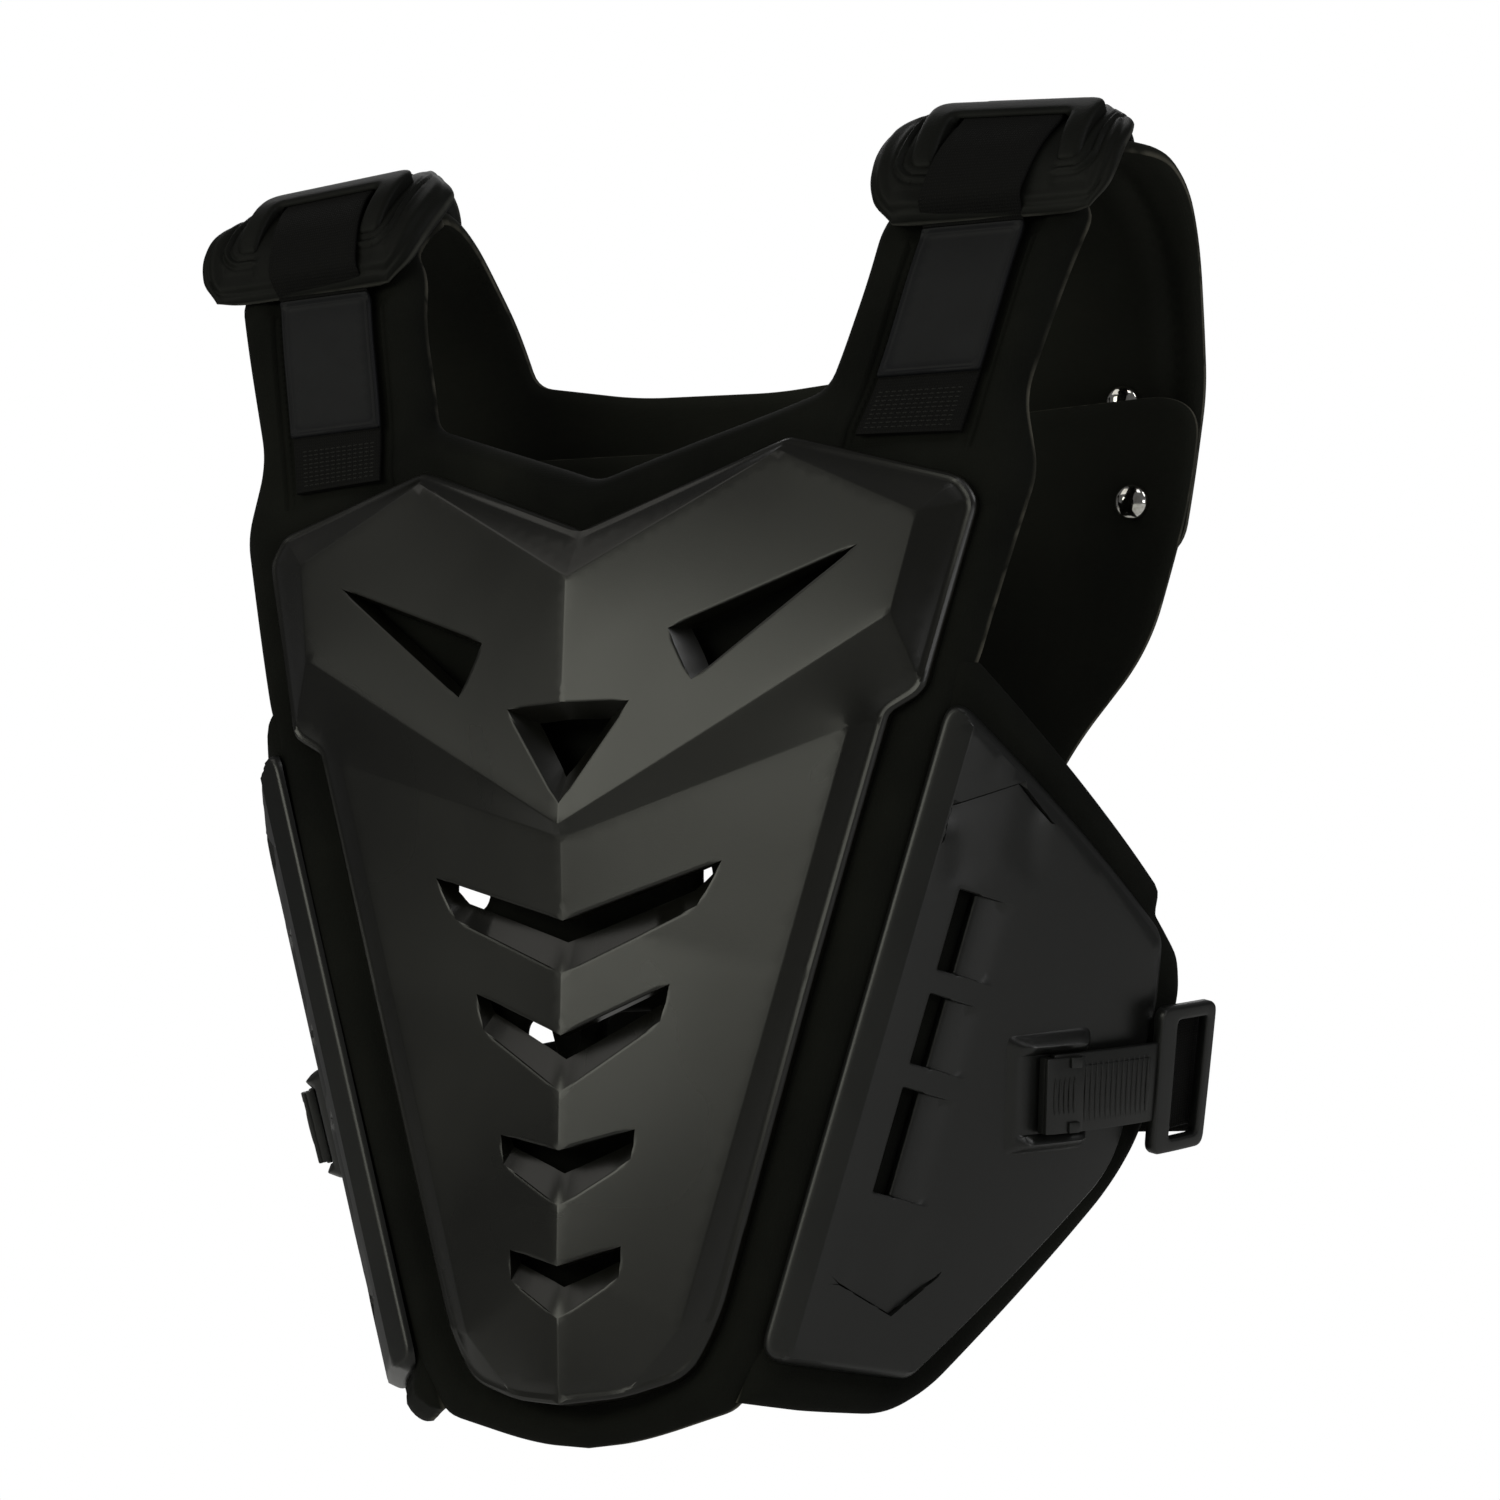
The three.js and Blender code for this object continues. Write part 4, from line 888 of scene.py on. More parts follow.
def chest_plate():
    outline = plate_outline()
    pairs = vents()
    loops = [outline] + [front for front, _, _ in pairs]
    flat, triangles, away = fill_flat(loops, PLATE_SPACING, PLATE_ROWS, plate_creases(), CREASE_BESIDE)
    depth = soft_depth(flat)
    # Edges are rounded, apart from the vents' corners, and the outline has a fine bead
    corners = np.concatenate([front for front, _, _ in pairs])
    nearest = np.linalg.norm(flat[:, None] - corners[None], axis=2).min(1)
    lip = near_edge(away, LIP) * np.clip(nearest / LIP_FADE, 0, 1)
    edge = distance_to(flat, [outline])
    bead = 0.32 * ridge(edge, 1.4, 0.7) - 0.3 * ridge(edge, 3.4, 0.8)
    depth = depth + LIP_DROP * (1 - arc(lip)) - bead
    front = np.stack([flat[:, 0], depth, flat[:, 1]], 1)
    floor = torso(flat[:, 0], flat[:, 1], -2.0)[:, 1]
    behind = np.stack([flat[:, 0], np.minimum(depth + SHELL, floor), flat[:, 1]], 1)
    rim = np.unique(edge_pairs(triangles))
    on_outline = rim[distance_to(flat[rim], [outline]) < 0.3]
    behind[on_outline, 1] = floor[on_outline]
    for mouth, end, deep in pairs:
        end_line = []
        for p0, p1, q0, q1 in zip(mouth, np.roll(mouth, -1, 0), end, np.roll(end, -1, 0)):
            count = max(1, int(math.ceil(np.linalg.norm(p1 - p0) / PLATE_SPACING)))
            end_line.extend(q0 + (q1 - q0) * k / count for k in range(count))
        for p, q in zip(stepped(mouth, PLATE_SPACING), end_line):
            spot = rim[np.argmin(np.abs(flat[rim] - p).sum(1))]
            behind[spot] = (q[0], min(depth[spot] + deep, floor[spot]), q[1])
    points, faces = closed_shell(front, behind, triangles[:, ::-1])
    piece("chest_plate_moulding", points, faces, CHEST_PLASTIC, "chest_plastic", ["chest_plate"],
          sharp=24)


# Side plates with their buckles

SIDE_PLATE = [  # down, back, rounding, bevel of the edge that starts here
    (-7, 0, 12, 5), (53, 123, 8, 5), (76, 130, 8, 3), (141, 131, 14, 3), (235, 61, 4, 3.5),
    (242, 0, 10, 9),
]
FACE_FRONT, FACE_REAR, FACE_WIDTH, FACE_EDGE = 7.0, 4.2, 131.0, 1.6
LOUVRES = [(60, 90), (99, 125), (134, 173)]
LOUVRE_SLOT, LOUVRE_RAMP, LOUVRE_END, LOUVRE_SINK = 22.0, 30.5, 46.0, 3.825
PRESSED_MARKS = [  # the pressed line, and the other corners of the hollow that rises from it
    ([(45, 10), (32, 10), (17, 34), (27, 51)], [(52, 58), (64, 40), (62, 12)]),
    ([(208, 19), (214, 43), (196, 58)], [(176, 52), (172, 34), (182, 16)]),
]
DIMPLE = (14, 22)
SIDE_SPACING, SIDE_ROWS, LINE_BESIDE = 3.4, (0.4, 1.0, 2.0, 3.2, 4.4), 0.35


def side_face(flat, away):
    """Height of the side plate's face: bevelled edges, louvre ramps and two pressed marks."""
    corners = np.array([(u, v) for u, v, _, _ in SIDE_PLATE], float)
    face = FACE_FRONT + (FACE_REAR - FACE_FRONT) * np.clip(flat[:, 1], 0, None) / FACE_WIDTH
    rise = np.clip(away / 3.0, 0, 1)
    for (one, two), (_, _, _, width) in zip(zip(corners, np.roll(corners, -1, 0)), SIDE_PLATE):
        way = (two - one) / np.linalg.norm(two - one)
        off = (flat - one) @ np.array([way[1], -way[0]])
        rise = np.minimum(rise, np.clip(off / width, 0, 1))
    height = FACE_EDGE + (face - FACE_EDGE) * rise
    for start, end in LOUVRES:
        ramp = (flat[:, 0] > start) & (flat[:, 0] < end) & (flat[:, 1] > LOUVRE_RAMP - 1)
        share = np.clip((LOUVRE_END - flat[:, 1]) / (LOUVRE_END - LOUVRE_RAMP), 0, 1)
        height -= np.where(ramp, LOUVRE_SINK * share ** 1.7, 0)
    for mark, ends in PRESSED_MARKS:
        gap = distance_to(flat, [mark], False)
        within = inside(flat, [np.array(mark + ends, float)]) & (gap > 0.25)
        fade = np.clip(distance_to(flat, [[mark[-1], *ends, mark[0]]], False) / 8.0, 0, 1)
        height -= np.where(within, 2.0 * fade * np.clip(1 - gap / 24.0, 0, 1), 0)
        height -= np.where(gap < 0.2, 2.4 * np.clip(0.3 + fade, 0, 1), 0)
    return height - 0.5 * ridge(np.linalg.norm(flat - DIMPLE, axis=1), 0.0, 2.6)


def side_plate():
    """The left side plate with its louvre slots, as points and faces."""
    outline = rounded([(u, v, cut) for u, v, cut, _ in SIDE_PLATE], 1.0)
    slots = [box_loop(start, end, LOUVRE_SLOT, LOUVRE_RAMP, 0.6) for start, end in LOUVRES]
    lines = []
    for mark, ends in PRESSED_MARKS:
        ring = turned(np.array(mark + ends, float), 1)
        inner = outset(ring, -0.5)
        keep = [int(np.argmin(np.abs(ring - corner).sum(1))) for corner in mark]
        lines.extend([np.array(mark, float), inner[keep]])
    for start, end in LOUVRES:
        for level in (start, end):
            lines.append(np.array([(level, LOUVRE_RAMP + 0.8), (level, LOUVRE_END)]))
    front_bevel = SIDE_PLATE[-1][3]
    lines.append(np.array([(3.0, front_bevel), (232.0, front_bevel)]))
    flat, triangles, away = fill_flat([outline, *slots], SIDE_SPACING, SIDE_ROWS, lines, LINE_BESIDE)
    edge = distance_to(flat, [outline])
    height = side_face(flat, edge)
    height -= 0.7 * (1 - arc(near_edge(away, 1.2)))
    inner = np.clip(height - SHELL, -0.4, None) * (edge > 0.6) - 0.8 * (edge <= 0.6)
    return shell_on(wing, flat, triangles, height, inner)


MOUND_HALF, BOSS_FROM, BOSS_TO, BOSS_TOP, RAIL_TOP = 25.0, -9.0, 25.0, 9.0, 12.0
RAIL_AT, RAIL_WIDTH = 17.9, 3.4
LADDER_HALF, LADDER_LOW, LADDER_HIGH, RACK_HALF = 14.8, 9.4, 12.0, 10.0
LOOP_HALF, LOOP_FROM, LOOP_TO, LOOP_LOW, LOOP_HIGH = 28.0, 56.0, 87.0, 8.4, 13.4
SLOT_HALF, SLOT_FROM, SLOT_TO = 22.5, 65.0, 82.0
LEVER_HALF, LEVER_TO, LEVER_LOW, LEVER_HIGH = 14.0, 17.0, 12.5, 14.6
LEVER_TAB = 4.0
LEVER_RIB, LADDER_TOOTH = (14.0, 1.1, 0.9), (23.0, 1.5, 1.0)  # length, width and height


def buckle_boss():
    """A mound in the side plate with a rail at either side of the strap."""
    rails = [side * (RAIL_AT + off) for side in (-1, 1) for off in (-RAIL_WIDTH, 0.0, RAIL_WIDTH)]
    lines = [np.array([(u, BOSS_FROM), (u, BOSS_TO)]) for u in rails]
    mound = box_loop(-MOUND_HALF, MOUND_HALF, BOSS_FROM - 6, BOSS_TO + 5, 7)
    flat, triangles, away = fill_flat([mound], 1.7, (0.5, 1.2), lines, 0.5)
    rise = eased(np.clip(away / 7.5, 0, 1))
    rail = near_edge(np.abs(np.abs(flat[:, 0]) - RAIL_AT), RAIL_WIDTH)
    ends = np.clip(np.minimum(flat[:, 1] - BOSS_FROM, BOSS_TO - flat[:, 1]) / 5.0, 0, 1)
    top = 3.6 + (BOSS_TOP - 3.9) * rise + (RAIL_TOP - BOSS_TOP) * np.sqrt(rail) * ends
    under = np.full(len(flat), 2.4)
    return shell_on(buckle_sheet, flat, triangles, top, under)


def buckle_lever():
    """The lever: a plate, its hinge at the front and a tab at either side of its rear end."""
    tabs = [
        bar(u, u + LEVER_TAB, LEVER_TO - 7, LEVER_TO - 2, 14.0, 15.6, buckle_sheet, 0.5)
        for u in (LEVER_HALF - LEVER_TAB, -LEVER_HALF)
    ]
    return joined(
        bar(-LEVER_HALF, LEVER_HALF, 0, LEVER_TO, LEVER_LOW, LEVER_HIGH, buckle_sheet, 0.7, 2),
        bar(-LEVER_HALF, LEVER_HALF, 0, 3.5, BOSS_TOP + 0.5, LEVER_LOW + 0.5, buckle_sheet, 0.5),
        *tabs,
    )


def strap_loop():
    """The ring at the strap's end, with a slot for the webbing."""
    loops = [
        box_loop(-LOOP_HALF, LOOP_HALF, LOOP_FROM, LOOP_TO, 5),
        box_loop(-SLOT_HALF, SLOT_HALF, SLOT_FROM, SLOT_TO, 1.5),
    ]
    flat, triangles, away = fill_flat(loops, 2.2, (0.4, 0.9, 1.5))
    lip = 1.2 * (1 - arc(near_edge(away, 1.4)))
    return shell_on(buckle_sheet, flat, triangles, LOOP_HIGH - lip, LOOP_LOW + lip)


def ladder_band():
    """The strap with the raised ground of its teeth and its loop."""
    rack = (LADDER_HIGH - 0.5, LADDER_HIGH + 0.5)
    return joined(
        bar(-LADDER_HALF, LADDER_HALF, 5, 60, LADDER_LOW, LADDER_HIGH, buckle_sheet, 0.7, 8),
        bar(-RACK_HALF, RACK_HALF, LEVER_TO + 1, LOOP_FROM - 4, *rack, buckle_sheet, 0.3, 6),
        strap_loop(),
    )


def side_pieces():
    shells = {
        ("side_plate", "moulding"): joined(side_plate(), buckle_boss()),
        ("buckle", "lever"): joined(buckle_lever(), row_shell(lever_ribs(), *LEVER_RIB)),
        ("ladder_strap", "band"): joined(ladder_band(), row_shell(ladder_teeth(), *LADDER_TOOTH)),
    }
    for side in ("left", "right"):
        for (part, form), shell in shells.items():
            here = shell if side == "left" else mirrored(*shell)
            piece(f"{part}_{side}_{form}", *here, SIDE_PLASTIC, "side_plastic", [f"{part}_{side}"],
                  sharp=35)


# Rows of small things, made by Geometry Nodes


def row_tree():
    """A node tree that puts a small rounded bar at every point, turned to the point's own directions."""
    tree = bpy.data.node_groups.new("row of bars", "GeometryNodeTree")
    face = tree.interface
    face.new_socket("Geometry", in_out="INPUT", socket_type="NodeSocketGeometry")
    for name in ("Length", "Width", "Height"):
        face.new_socket(name, in_out="INPUT", socket_type="NodeSocketFloat")
    face.new_socket("Material", in_out="INPUT", socket_type="NodeSocketMaterial")
    face.new_socket("Geometry", in_out="OUTPUT", socket_type="NodeSocketGeometry")
    given = node(tree, "NodeGroupInput").outputs
    along, up = [
        node(tree, "GeometryNodeInputNamedAttribute", {"data_type": "FLOAT_VECTOR"}, {"Name": name})
        for name in ("along", "up")
    ]
    lie = node(tree, "FunctionNodeAlignRotationToVector", {"axis": "X"}, None,
               {"Vector": along.outputs["Attribute"]})
    stand = node(tree, "FunctionNodeAlignRotationToVector", {"axis": "Z", "pivot_axis": "X"}, None,
                 {"Rotation": lie.outputs["Rotation"], "Vector": up.outputs["Attribute"]})
    size = node(tree, "ShaderNodeCombineXYZ", None, None,
                {"X": given["Length"], "Y": given["Width"], "Z": given["Height"]})
    bead = node(tree, "GeometryNodeMeshUVSphere", None, {"Segments": 8, "Rings": 6, "Radius": 0.5})
    put = node(tree, "GeometryNodeInstanceOnPoints", None, None,
               {"Points": given["Geometry"], "Instance": bead.outputs["Mesh"],
                "Rotation": stand.outputs["Rotation"], "Scale": size.outputs["Vector"]})
    real = node(tree, "GeometryNodeRealizeInstances", None, None, {"Geometry": put.outputs["Instances"]})
    done = node(tree, "GeometryNodeSetMaterial", None, None,
                {"Geometry": real.outputs["Geometry"], "Material": given["Material"]})
    node(tree, "NodeGroupOutput", None, None, {"Geometry": done.outputs["Geometry"]})
    return tree


ROWS = row_tree()


def row_mesh(spots, length, width, height, finish):
    """The mesh that the tree makes at spots, which are (point, along, up) in mm."""
    mesh = bpy.data.meshes.new("spots")
    mesh.from_pydata([(np.asarray(p) * MM).tolist() for p, _, _ in spots], [], [])
    for name, k in (("along", 1), ("up", 2)):
        values = np.array([spot[k] for spot in spots], np.float32).ravel()
        mesh.attributes.new(name, "FLOAT_VECTOR", "POINT").data.foreach_set("vector", values)
    holder = put_in_scene("spots", mesh)
    modifier = holder.modifiers.new("rows", "NODES")
    modifier.node_group = ROWS
    sockets = {s.name: s.identifier for s in ROWS.interface.items_tree if s.in_out == "INPUT"}
    sizes = {"Length": length * MM, "Width": width * MM, "Height": height * MM}
    for name, value in {**sizes, "Material": finish}.items():
        modifier[sockets[name]] = value
    holder.update_tag()
    evaluated = holder.evaluated_get(bpy.context.evaluated_depsgraph_get())
    made = bpy.data.meshes.new_from_object(evaluated)
    holder.modifiers.remove(modifier)
    bpy.data.objects.remove(holder)
    return made


def row_shell(spots, length, width, height):
    """A row of plastic bars as points and faces, in mm."""
    made = row_mesh(spots, length, width, height, SIDE_PLASTIC)
    points = np.array([v.co for v in made.vertices]) / MM
    return points, [list(face.vertices) for face in made.polygons]


def spots_on(sheet, flat, lift, way=(1.0, 0.0)):
    """Spots on a sheet at flat points, lying along a flat direction."""
    found = []
    for u, v in flat:
        here = sheet(u, v, lift)
        ahead = sheet(u + 0.5 * way[0], v + 0.5 * way[1], lift) - here
        up = sheet(u, v, lift + 1.0) - here
        found.append((here, ahead / np.linalg.norm(ahead), up / np.linalg.norm(up)))
    return found


def ladder_teeth():
    places = np.arange(LEVER_TO + 2.5, LOOP_FROM - 5, 2.6)
    return spots_on(buckle_sheet, [(0.0, a) for a in places], LADDER_HIGH + 0.55)


def lever_ribs():
    return spots_on(buckle_sheet, [(0.0, 3.6 + 2.2 * i) for i in range(5)], LEVER_HIGH + 0.1)


# Webbing, patches and stitches

STRAP_OVER_PAD, STRAP_WIDTH, STRAP_THICK = 11.0, 40.0, 2.0
STRAP_FROM, STRAP_TO, STRAP_STEP = 20.0, 266.1, 2.0
SELVEDGE = 0.55  # how much thinner the webbing is at its edges, on each side
STRAP_LOW_X, STRAP_LEAN = 125.0, 0.226  # its middle at 40 along, and how it leans outwards
CHANNEL_LIFT, YOKE_LIFT = -1.5, 0.4
SADDLE_X, SADDLE_TILT = 147.0, 0.075
SADDLE_BACK = 214.0  # along, where the webbing is down on the yoke again
LABEL_WIDTH, LABEL_FROM, LABEL_TO, LABEL_FACE = 41.0, 43.0, 100.0, 1.0
LABEL_ROWS = (0.3, 0.7, 1.2, 1.7, 2.1, 2.6, 3.1)  # rows of points along a patch's edge
STITCH = (2.2, 0.62, 0.5)  # length, width and height
SIDE_WEBBING_HALF = 21.3  # fills the loop's slot
SIDE_WEBBING_REAR = 549.0  # along the back


def strap_middle(along):
    """x of the webbing's middle, which leans outwards up to the shoulder."""
    return np.minimum(SADDLE_X, STRAP_LOW_X + STRAP_LEAN * (np.asarray(along, float) - 40))


def strap_lift(along):
    """Height of the webbing: in the channel in front, just over the shoulder pad, then on the yoke."""
    up, down = np.clip((along - 97.5) / 10.0, 0, 1), np.clip((SADDLE_BACK - along) / 18.0, 0, 1)
    base = np.where(along < 150.0, CHANNEL_LIFT, YOKE_LIFT)
    return base + (STRAP_OVER_PAD - base) * eased(up) * eased(down)


def saddle(x, along, lift):
    """The sheet of the webbing over the shoulder pad, which falls towards the arm."""
    ramp = np.clip(np.minimum(along - 100.0, SADDLE_BACK - along) / 22.0, 0, 1)
    return torso(x, along, lift - SADDLE_TILT * (x - SADDLE_X) * ramp)


def band_piece(name, rows_low, rows_high, node_name):
    """Webbing from rows of points on its lower and upper side, with a map in mm for its weave."""
    count, across = rows_low.shape[:2]
    triangles = grid_triangles(count, across)
    points, faces = closed_shell(rows_high.reshape(-1, 3), rows_low.reshape(-1, 3), triangles)
    band = piece(name, points, faces, WEBBING, "webbing", [node_name], sharp=50)
    steps = np.linalg.norm(np.diff(rows_low[:, across // 2], axis=0), axis=1)
    length = np.concatenate([[0], np.cumsum(steps)])
    widths = np.concatenate([[0], np.cumsum(np.linalg.norm(np.diff(rows_low[0], axis=0), axis=1))])
    one = np.stack(np.meshgrid(widths, length), -1).reshape(-1, 2) * MM
    both = np.concatenate([one, one])
    layer = band.data.uv_layers.new(name="band")
    spots = np.zeros(len(band.data.loops), int)
    band.data.loops.foreach_get("vertex_index", spots)
    layer.data.foreach_set("uv", both[spots].astype(np.float32).ravel())
    return band


def on_both_sides(low, high):
    """Each side's name with its rows of points. On the right they run the other way across."""
    return ("left", low, high), ("right", low[:, ::-1] * FLIP, high[:, ::-1] * FLIP)


def shoulder_straps():
    along = np.arange(STRAP_FROM, STRAP_TO, STRAP_STEP)
    across = np.array([-1, -0.97, -0.7, -0.35, 0, 0.35, 0.7, 0.97, 1]) * STRAP_WIDTH / 2
    a, c = np.meshgrid(along, across, indexing="ij")
    thin = np.where(np.abs(c) > STRAP_WIDTH * 0.49, SELVEDGE, 0.0)
    x = strap_middle(a) + c
    low = saddle(x, a, strap_lift(a) + thin)
    high = saddle(x, a, strap_lift(a) + STRAP_THICK - thin)
    for side, under, over in on_both_sides(low, high):
        band = band_piece(f"shoulder_strap_{side}_webbing", under, over, f"shoulder_strap_{side}")


def labels():
    """Bare patches with a raised rim, which follow the webbing."""
    half, tall = LABEL_WIDTH / 2, (LABEL_TO - LABEL_FROM) / 2

    def place(u, v, lift):
        along = v + (LABEL_FROM + LABEL_TO) / 2
        return torso(strap_middle(along) + u, along, strap_lift(along) + STRAP_THICK + 0.1 + lift)

    flat, triangles, away = fill_flat([box_loop(-half, half, -tall, tall, 1.2)], 3.0, LABEL_ROWS)
    rim = 0.55 * ridge(away, 0.9, 0.55) + 0.3 * ridge(away, 2.5, 0.4)
    edge = 0.5 * near_edge(away, 0.4) ** 2
    face = LABEL_FACE + rim - edge
    for side, form in left_and_right(shell_on(place, flat, triangles, face, np.zeros(len(flat)))):
        piece(f"label_{side}_patch", *form, PVC, "patch", [f"label_{side}"], sharp=50)


def strap_stitches():
    """Rows of stitches below each patch and at the webbing's rear end."""
    across = np.arange(-16.5, 16.6, 2.6)
    flat = [(strap_middle(along) + c, along) for along in np.arange(22.5, 37.0, 1.8) for c in across]
    flat += [(SADDLE_X + c, along) for along in np.arange(246.0, 264.0, 2.2) for c in across]
    spots = []
    for u, v in flat:
        spots += spots_on(torso, [(u, v)], strap_lift(v) + STRAP_THICK + 0.05)
    spots += [(p * FLIP, along * FLIP, up * FLIP) for p, along, up in spots]
    made = row_mesh([(p - REST, along, up) for p, along, up in spots], *STITCH, THREAD)
    made.shade_smooth()
    made.name = "strap_stitches"
    finished(put_in_scene("strap_stitches", made), THREAD)


def side_webbing():
    """Webbing from the loop's slot, hanging free past the side, to the lower back pad."""
    on_loop = [buckle_sheet(0.0, a, 4.6) for a in (62.0, 74.0, 86.0)]
    free = [np.array(p, float) for p in ((174, 133, -205), (148, 138, -204), (116, 130, -204))]
    on_back = [torso(x, SIDE_WEBBING_REAR, 0.5 - PAD - RIVET_NEST) for x in (88.0, 68.0)]
    middles = np.array(on_loop + free + on_back)
    first = buckle_sheet(1.0, 70.0, 0.0) - buckle_sheet(0.0, 70.0, 0.0)
    low_rear, rear = (torso(88.0, SIDE_WEBBING_REAR + d, -PAD - RIVET_NEST) for d in (1.0, 0.0))
    last = low_rear - rear
    share = np.clip((np.arange(len(middles)) - 2) / 3, 0, 1)[:, None]
    across = first * (1 - share) + last / np.linalg.norm(last) * share
    across /= np.linalg.norm(across, axis=1)[:, None]
    t = np.arange(len(middles))
    fine = np.linspace(0, len(middles) - 1, 60)
    path = np.stack([smooth_through(t, middles[:, k], fine) for k in range(3)], 1)
    wide = np.stack([np.interp(fine, t, across[:, k]) for k in range(3)], 1)
    out = np.cross(wide, np.gradient(path, axis=0))
    out /= np.linalg.norm(out, axis=1)[:, None]
    spread = np.array([-1, -0.97, -0.6, -0.2, 0.2, 0.6, 0.97, 1]) * SIDE_WEBBING_HALF
    thin = np.where(np.abs(spread) > SIDE_WEBBING_HALF * 0.98, SELVEDGE, 0.0)[None, :, None]
    base = path[:, None] + spread[None, :, None] * wide[:, None]
    low = base + out[:, None] * thin
    high = base + out[:, None] * (STRAP_THICK - thin)
    for side, under, over in on_both_sides(low, high):
        band = band_piece(f"side_webbing_{side}_band", under, over, f"side_webbing_{side}")


def smooth_through(t, values, fine):
    """A smooth curve through values at whole steps t."""
    slopes = np.gradient(values, t)
    i = np.clip(fine.astype(int), 0, len(t) - 2)
    p = fine - t[i]
    h00, h10 = 2 * p ** 3 - 3 * p ** 2 + 1, p ** 3 - 2 * p ** 2 + p
    h01, h11 = -2 * p ** 3 + 3 * p ** 2, p ** 3 - p ** 2
    return h00 * values[i] + h10 * slopes[i] + h01 * values[i + 1] + h11 * slopes[i + 1]


# Shoulder pads

SADDLE = np.array([  # along, inner, outer, body, fall
    (101, 110, 184, 0.45, -1), (106, 101, 192, 0.8, -1), (116, 96, 196, 1, -1), (132, 93, 197, 1, -0.6),
    (146, 94, 192, 1, 0.4), (154, 102, 186, 1, 0.6), (162, 109, 180, 1, 0.5), (172, 114, 175, 0.95, 0.2),
    (186, 118, 174, 0.8, 0), (196, 122, 170, 0.5, 0), (202, 126, 166, 0.25, 0),
], float)
SADDLE_SECTION = np.array([  # share from the neck to the arm, top, under, drop
    (0, 9.5, 4.5, 0), (0.05, 13, 2, 0), (0.13, 14, 1.2, 0), (0.27, 11.9, 1.2, 0), (0.5, 10.4, 1.2, 0),
    (0.73, 8.8, 1.2, 0), (0.86, 8.8, 1.2, 0), (0.94, 7.8, 1.4, 1.2), (1, 6.2, 2.4, 3.2),
], float)
SADDLE_FROM, SADDLE_TO = 101.0, 202.0
RING_HALF, RING_FROM, RING_TO, RING_TURN = 37.5, 117.0, 157.0, 7.0
HOOP = [(24.0, 141.5, 3), (24.0, 119, 2), (33.5, 119, 4), (34.5, 153, 8)]  # off the webbing's middle
HOOP_TOP, HOOP_FALL, HOOP_ROUND, HOOP_FOOT = 15.4, 3.8, 1.7, 6.0


def softly(values, table, column, blur):
    """A table's column at values, with the corners between its rows rounded."""
    offsets = np.linspace(-blur, blur, 7)
    return sum(np.interp(values + d, table[:, 0], table[:, column]) for d in offsets) / 7


def ring_distance(x, along):
    """Distance from the rounded line round the bridge, below 0 inside it."""
    tall = (RING_TO - RING_FROM) / 2
    du = np.abs(x - SADDLE_X) - RING_HALF + RING_TURN
    dv = np.abs(along - (RING_FROM + RING_TO) / 2) - tall + RING_TURN
    outside = np.hypot(np.maximum(du, 0), np.maximum(dv, 0))
    return outside + np.minimum(np.maximum(du, dv), 0) - RING_TURN


def saddle_faces(share, along):
    """The shoulder pad's upper and lower face at a share of its width."""
    inner, outer, body, fall = (softly(along, SADDLE, k, 4.5) for k in (1, 2, 3, 4))
    top, under, drop = (softly(share, SADDLE_SECTION, k, 0.03) for k in (1, 2, 3))
    x = inner + share * (outer - inner)
    side = np.minimum(share, 1 - share) * (outer - inner)
    end = np.minimum(along - SADDLE_FROM, SADDLE_TO - along)
    edge = np.minimum(side, end)
    lower = under - drop * fall
    upper = lower + (top - under) * body
    # Pressed lines round the bridge and along the edge, apart from where the webbing lies
    free = np.clip((np.abs(x - SADDLE_X) - 22.0) / 2.5, 0, 1)
    front = np.clip((158.0 - along) / 14.0, 0, 1)
    ring = ring_distance(x, along)
    beyond = np.clip((ring - 2.0) / 3.0, 0, 1)
    lines = 0.9 * ridge(ring, 0.0, 0.7) + 0.8 * ridge(ring, 3.2, 0.7) - 0.6 * ridge(ring, 1.6, 0.9)
    lines = front * lines + beyond * front * (0.5 * ridge(edge, 10.0, 1.8) + 0.35 * ridge(edge, 16.5, 2.0))
    upper = upper - free * lines - 0.6 * ridge(edge, 3.4, 0.7) + 0.5 * ridge(edge, 5.6, 1.4)
    middle = (upper + lower) / 2
    full = 0.12 + 0.88 * arc(near_edge(edge, 3.2))
    return [torso(x, along, middle + (face - middle) * full) for face in (upper, lower)], edge


def hoop():
    """The bridge over the webbing: two legs that rise out of the pad into a bar, with round edges."""
    loop = rounded(both_halves(HOOP), 0.8) + (SADDLE_X, 0)
    flat, triangles, away = fill_flat([loop], 1.8, (0.3, 0.8, 1.5, 2.4))
    fall = np.clip((143.0 - flat[:, 1]) / 24.0, 0, 1)
    top = HOOP_TOP - HOOP_FALL * fall ** 1.5 - HOOP_ROUND * (1 - arc(near_edge(away, 2.6)))
    over = np.clip((23.5 - np.abs(flat[:, 0] - SADDLE_X)) / 1.5, 0, 1)
    bridge = STRAP_OVER_PAD + STRAP_THICK + 0.3
    bottom = np.minimum(HOOP_FOOT + over * (bridge - HOOP_FOOT), top - 0.4)
    return shell_on(saddle, flat, triangles, top, bottom)


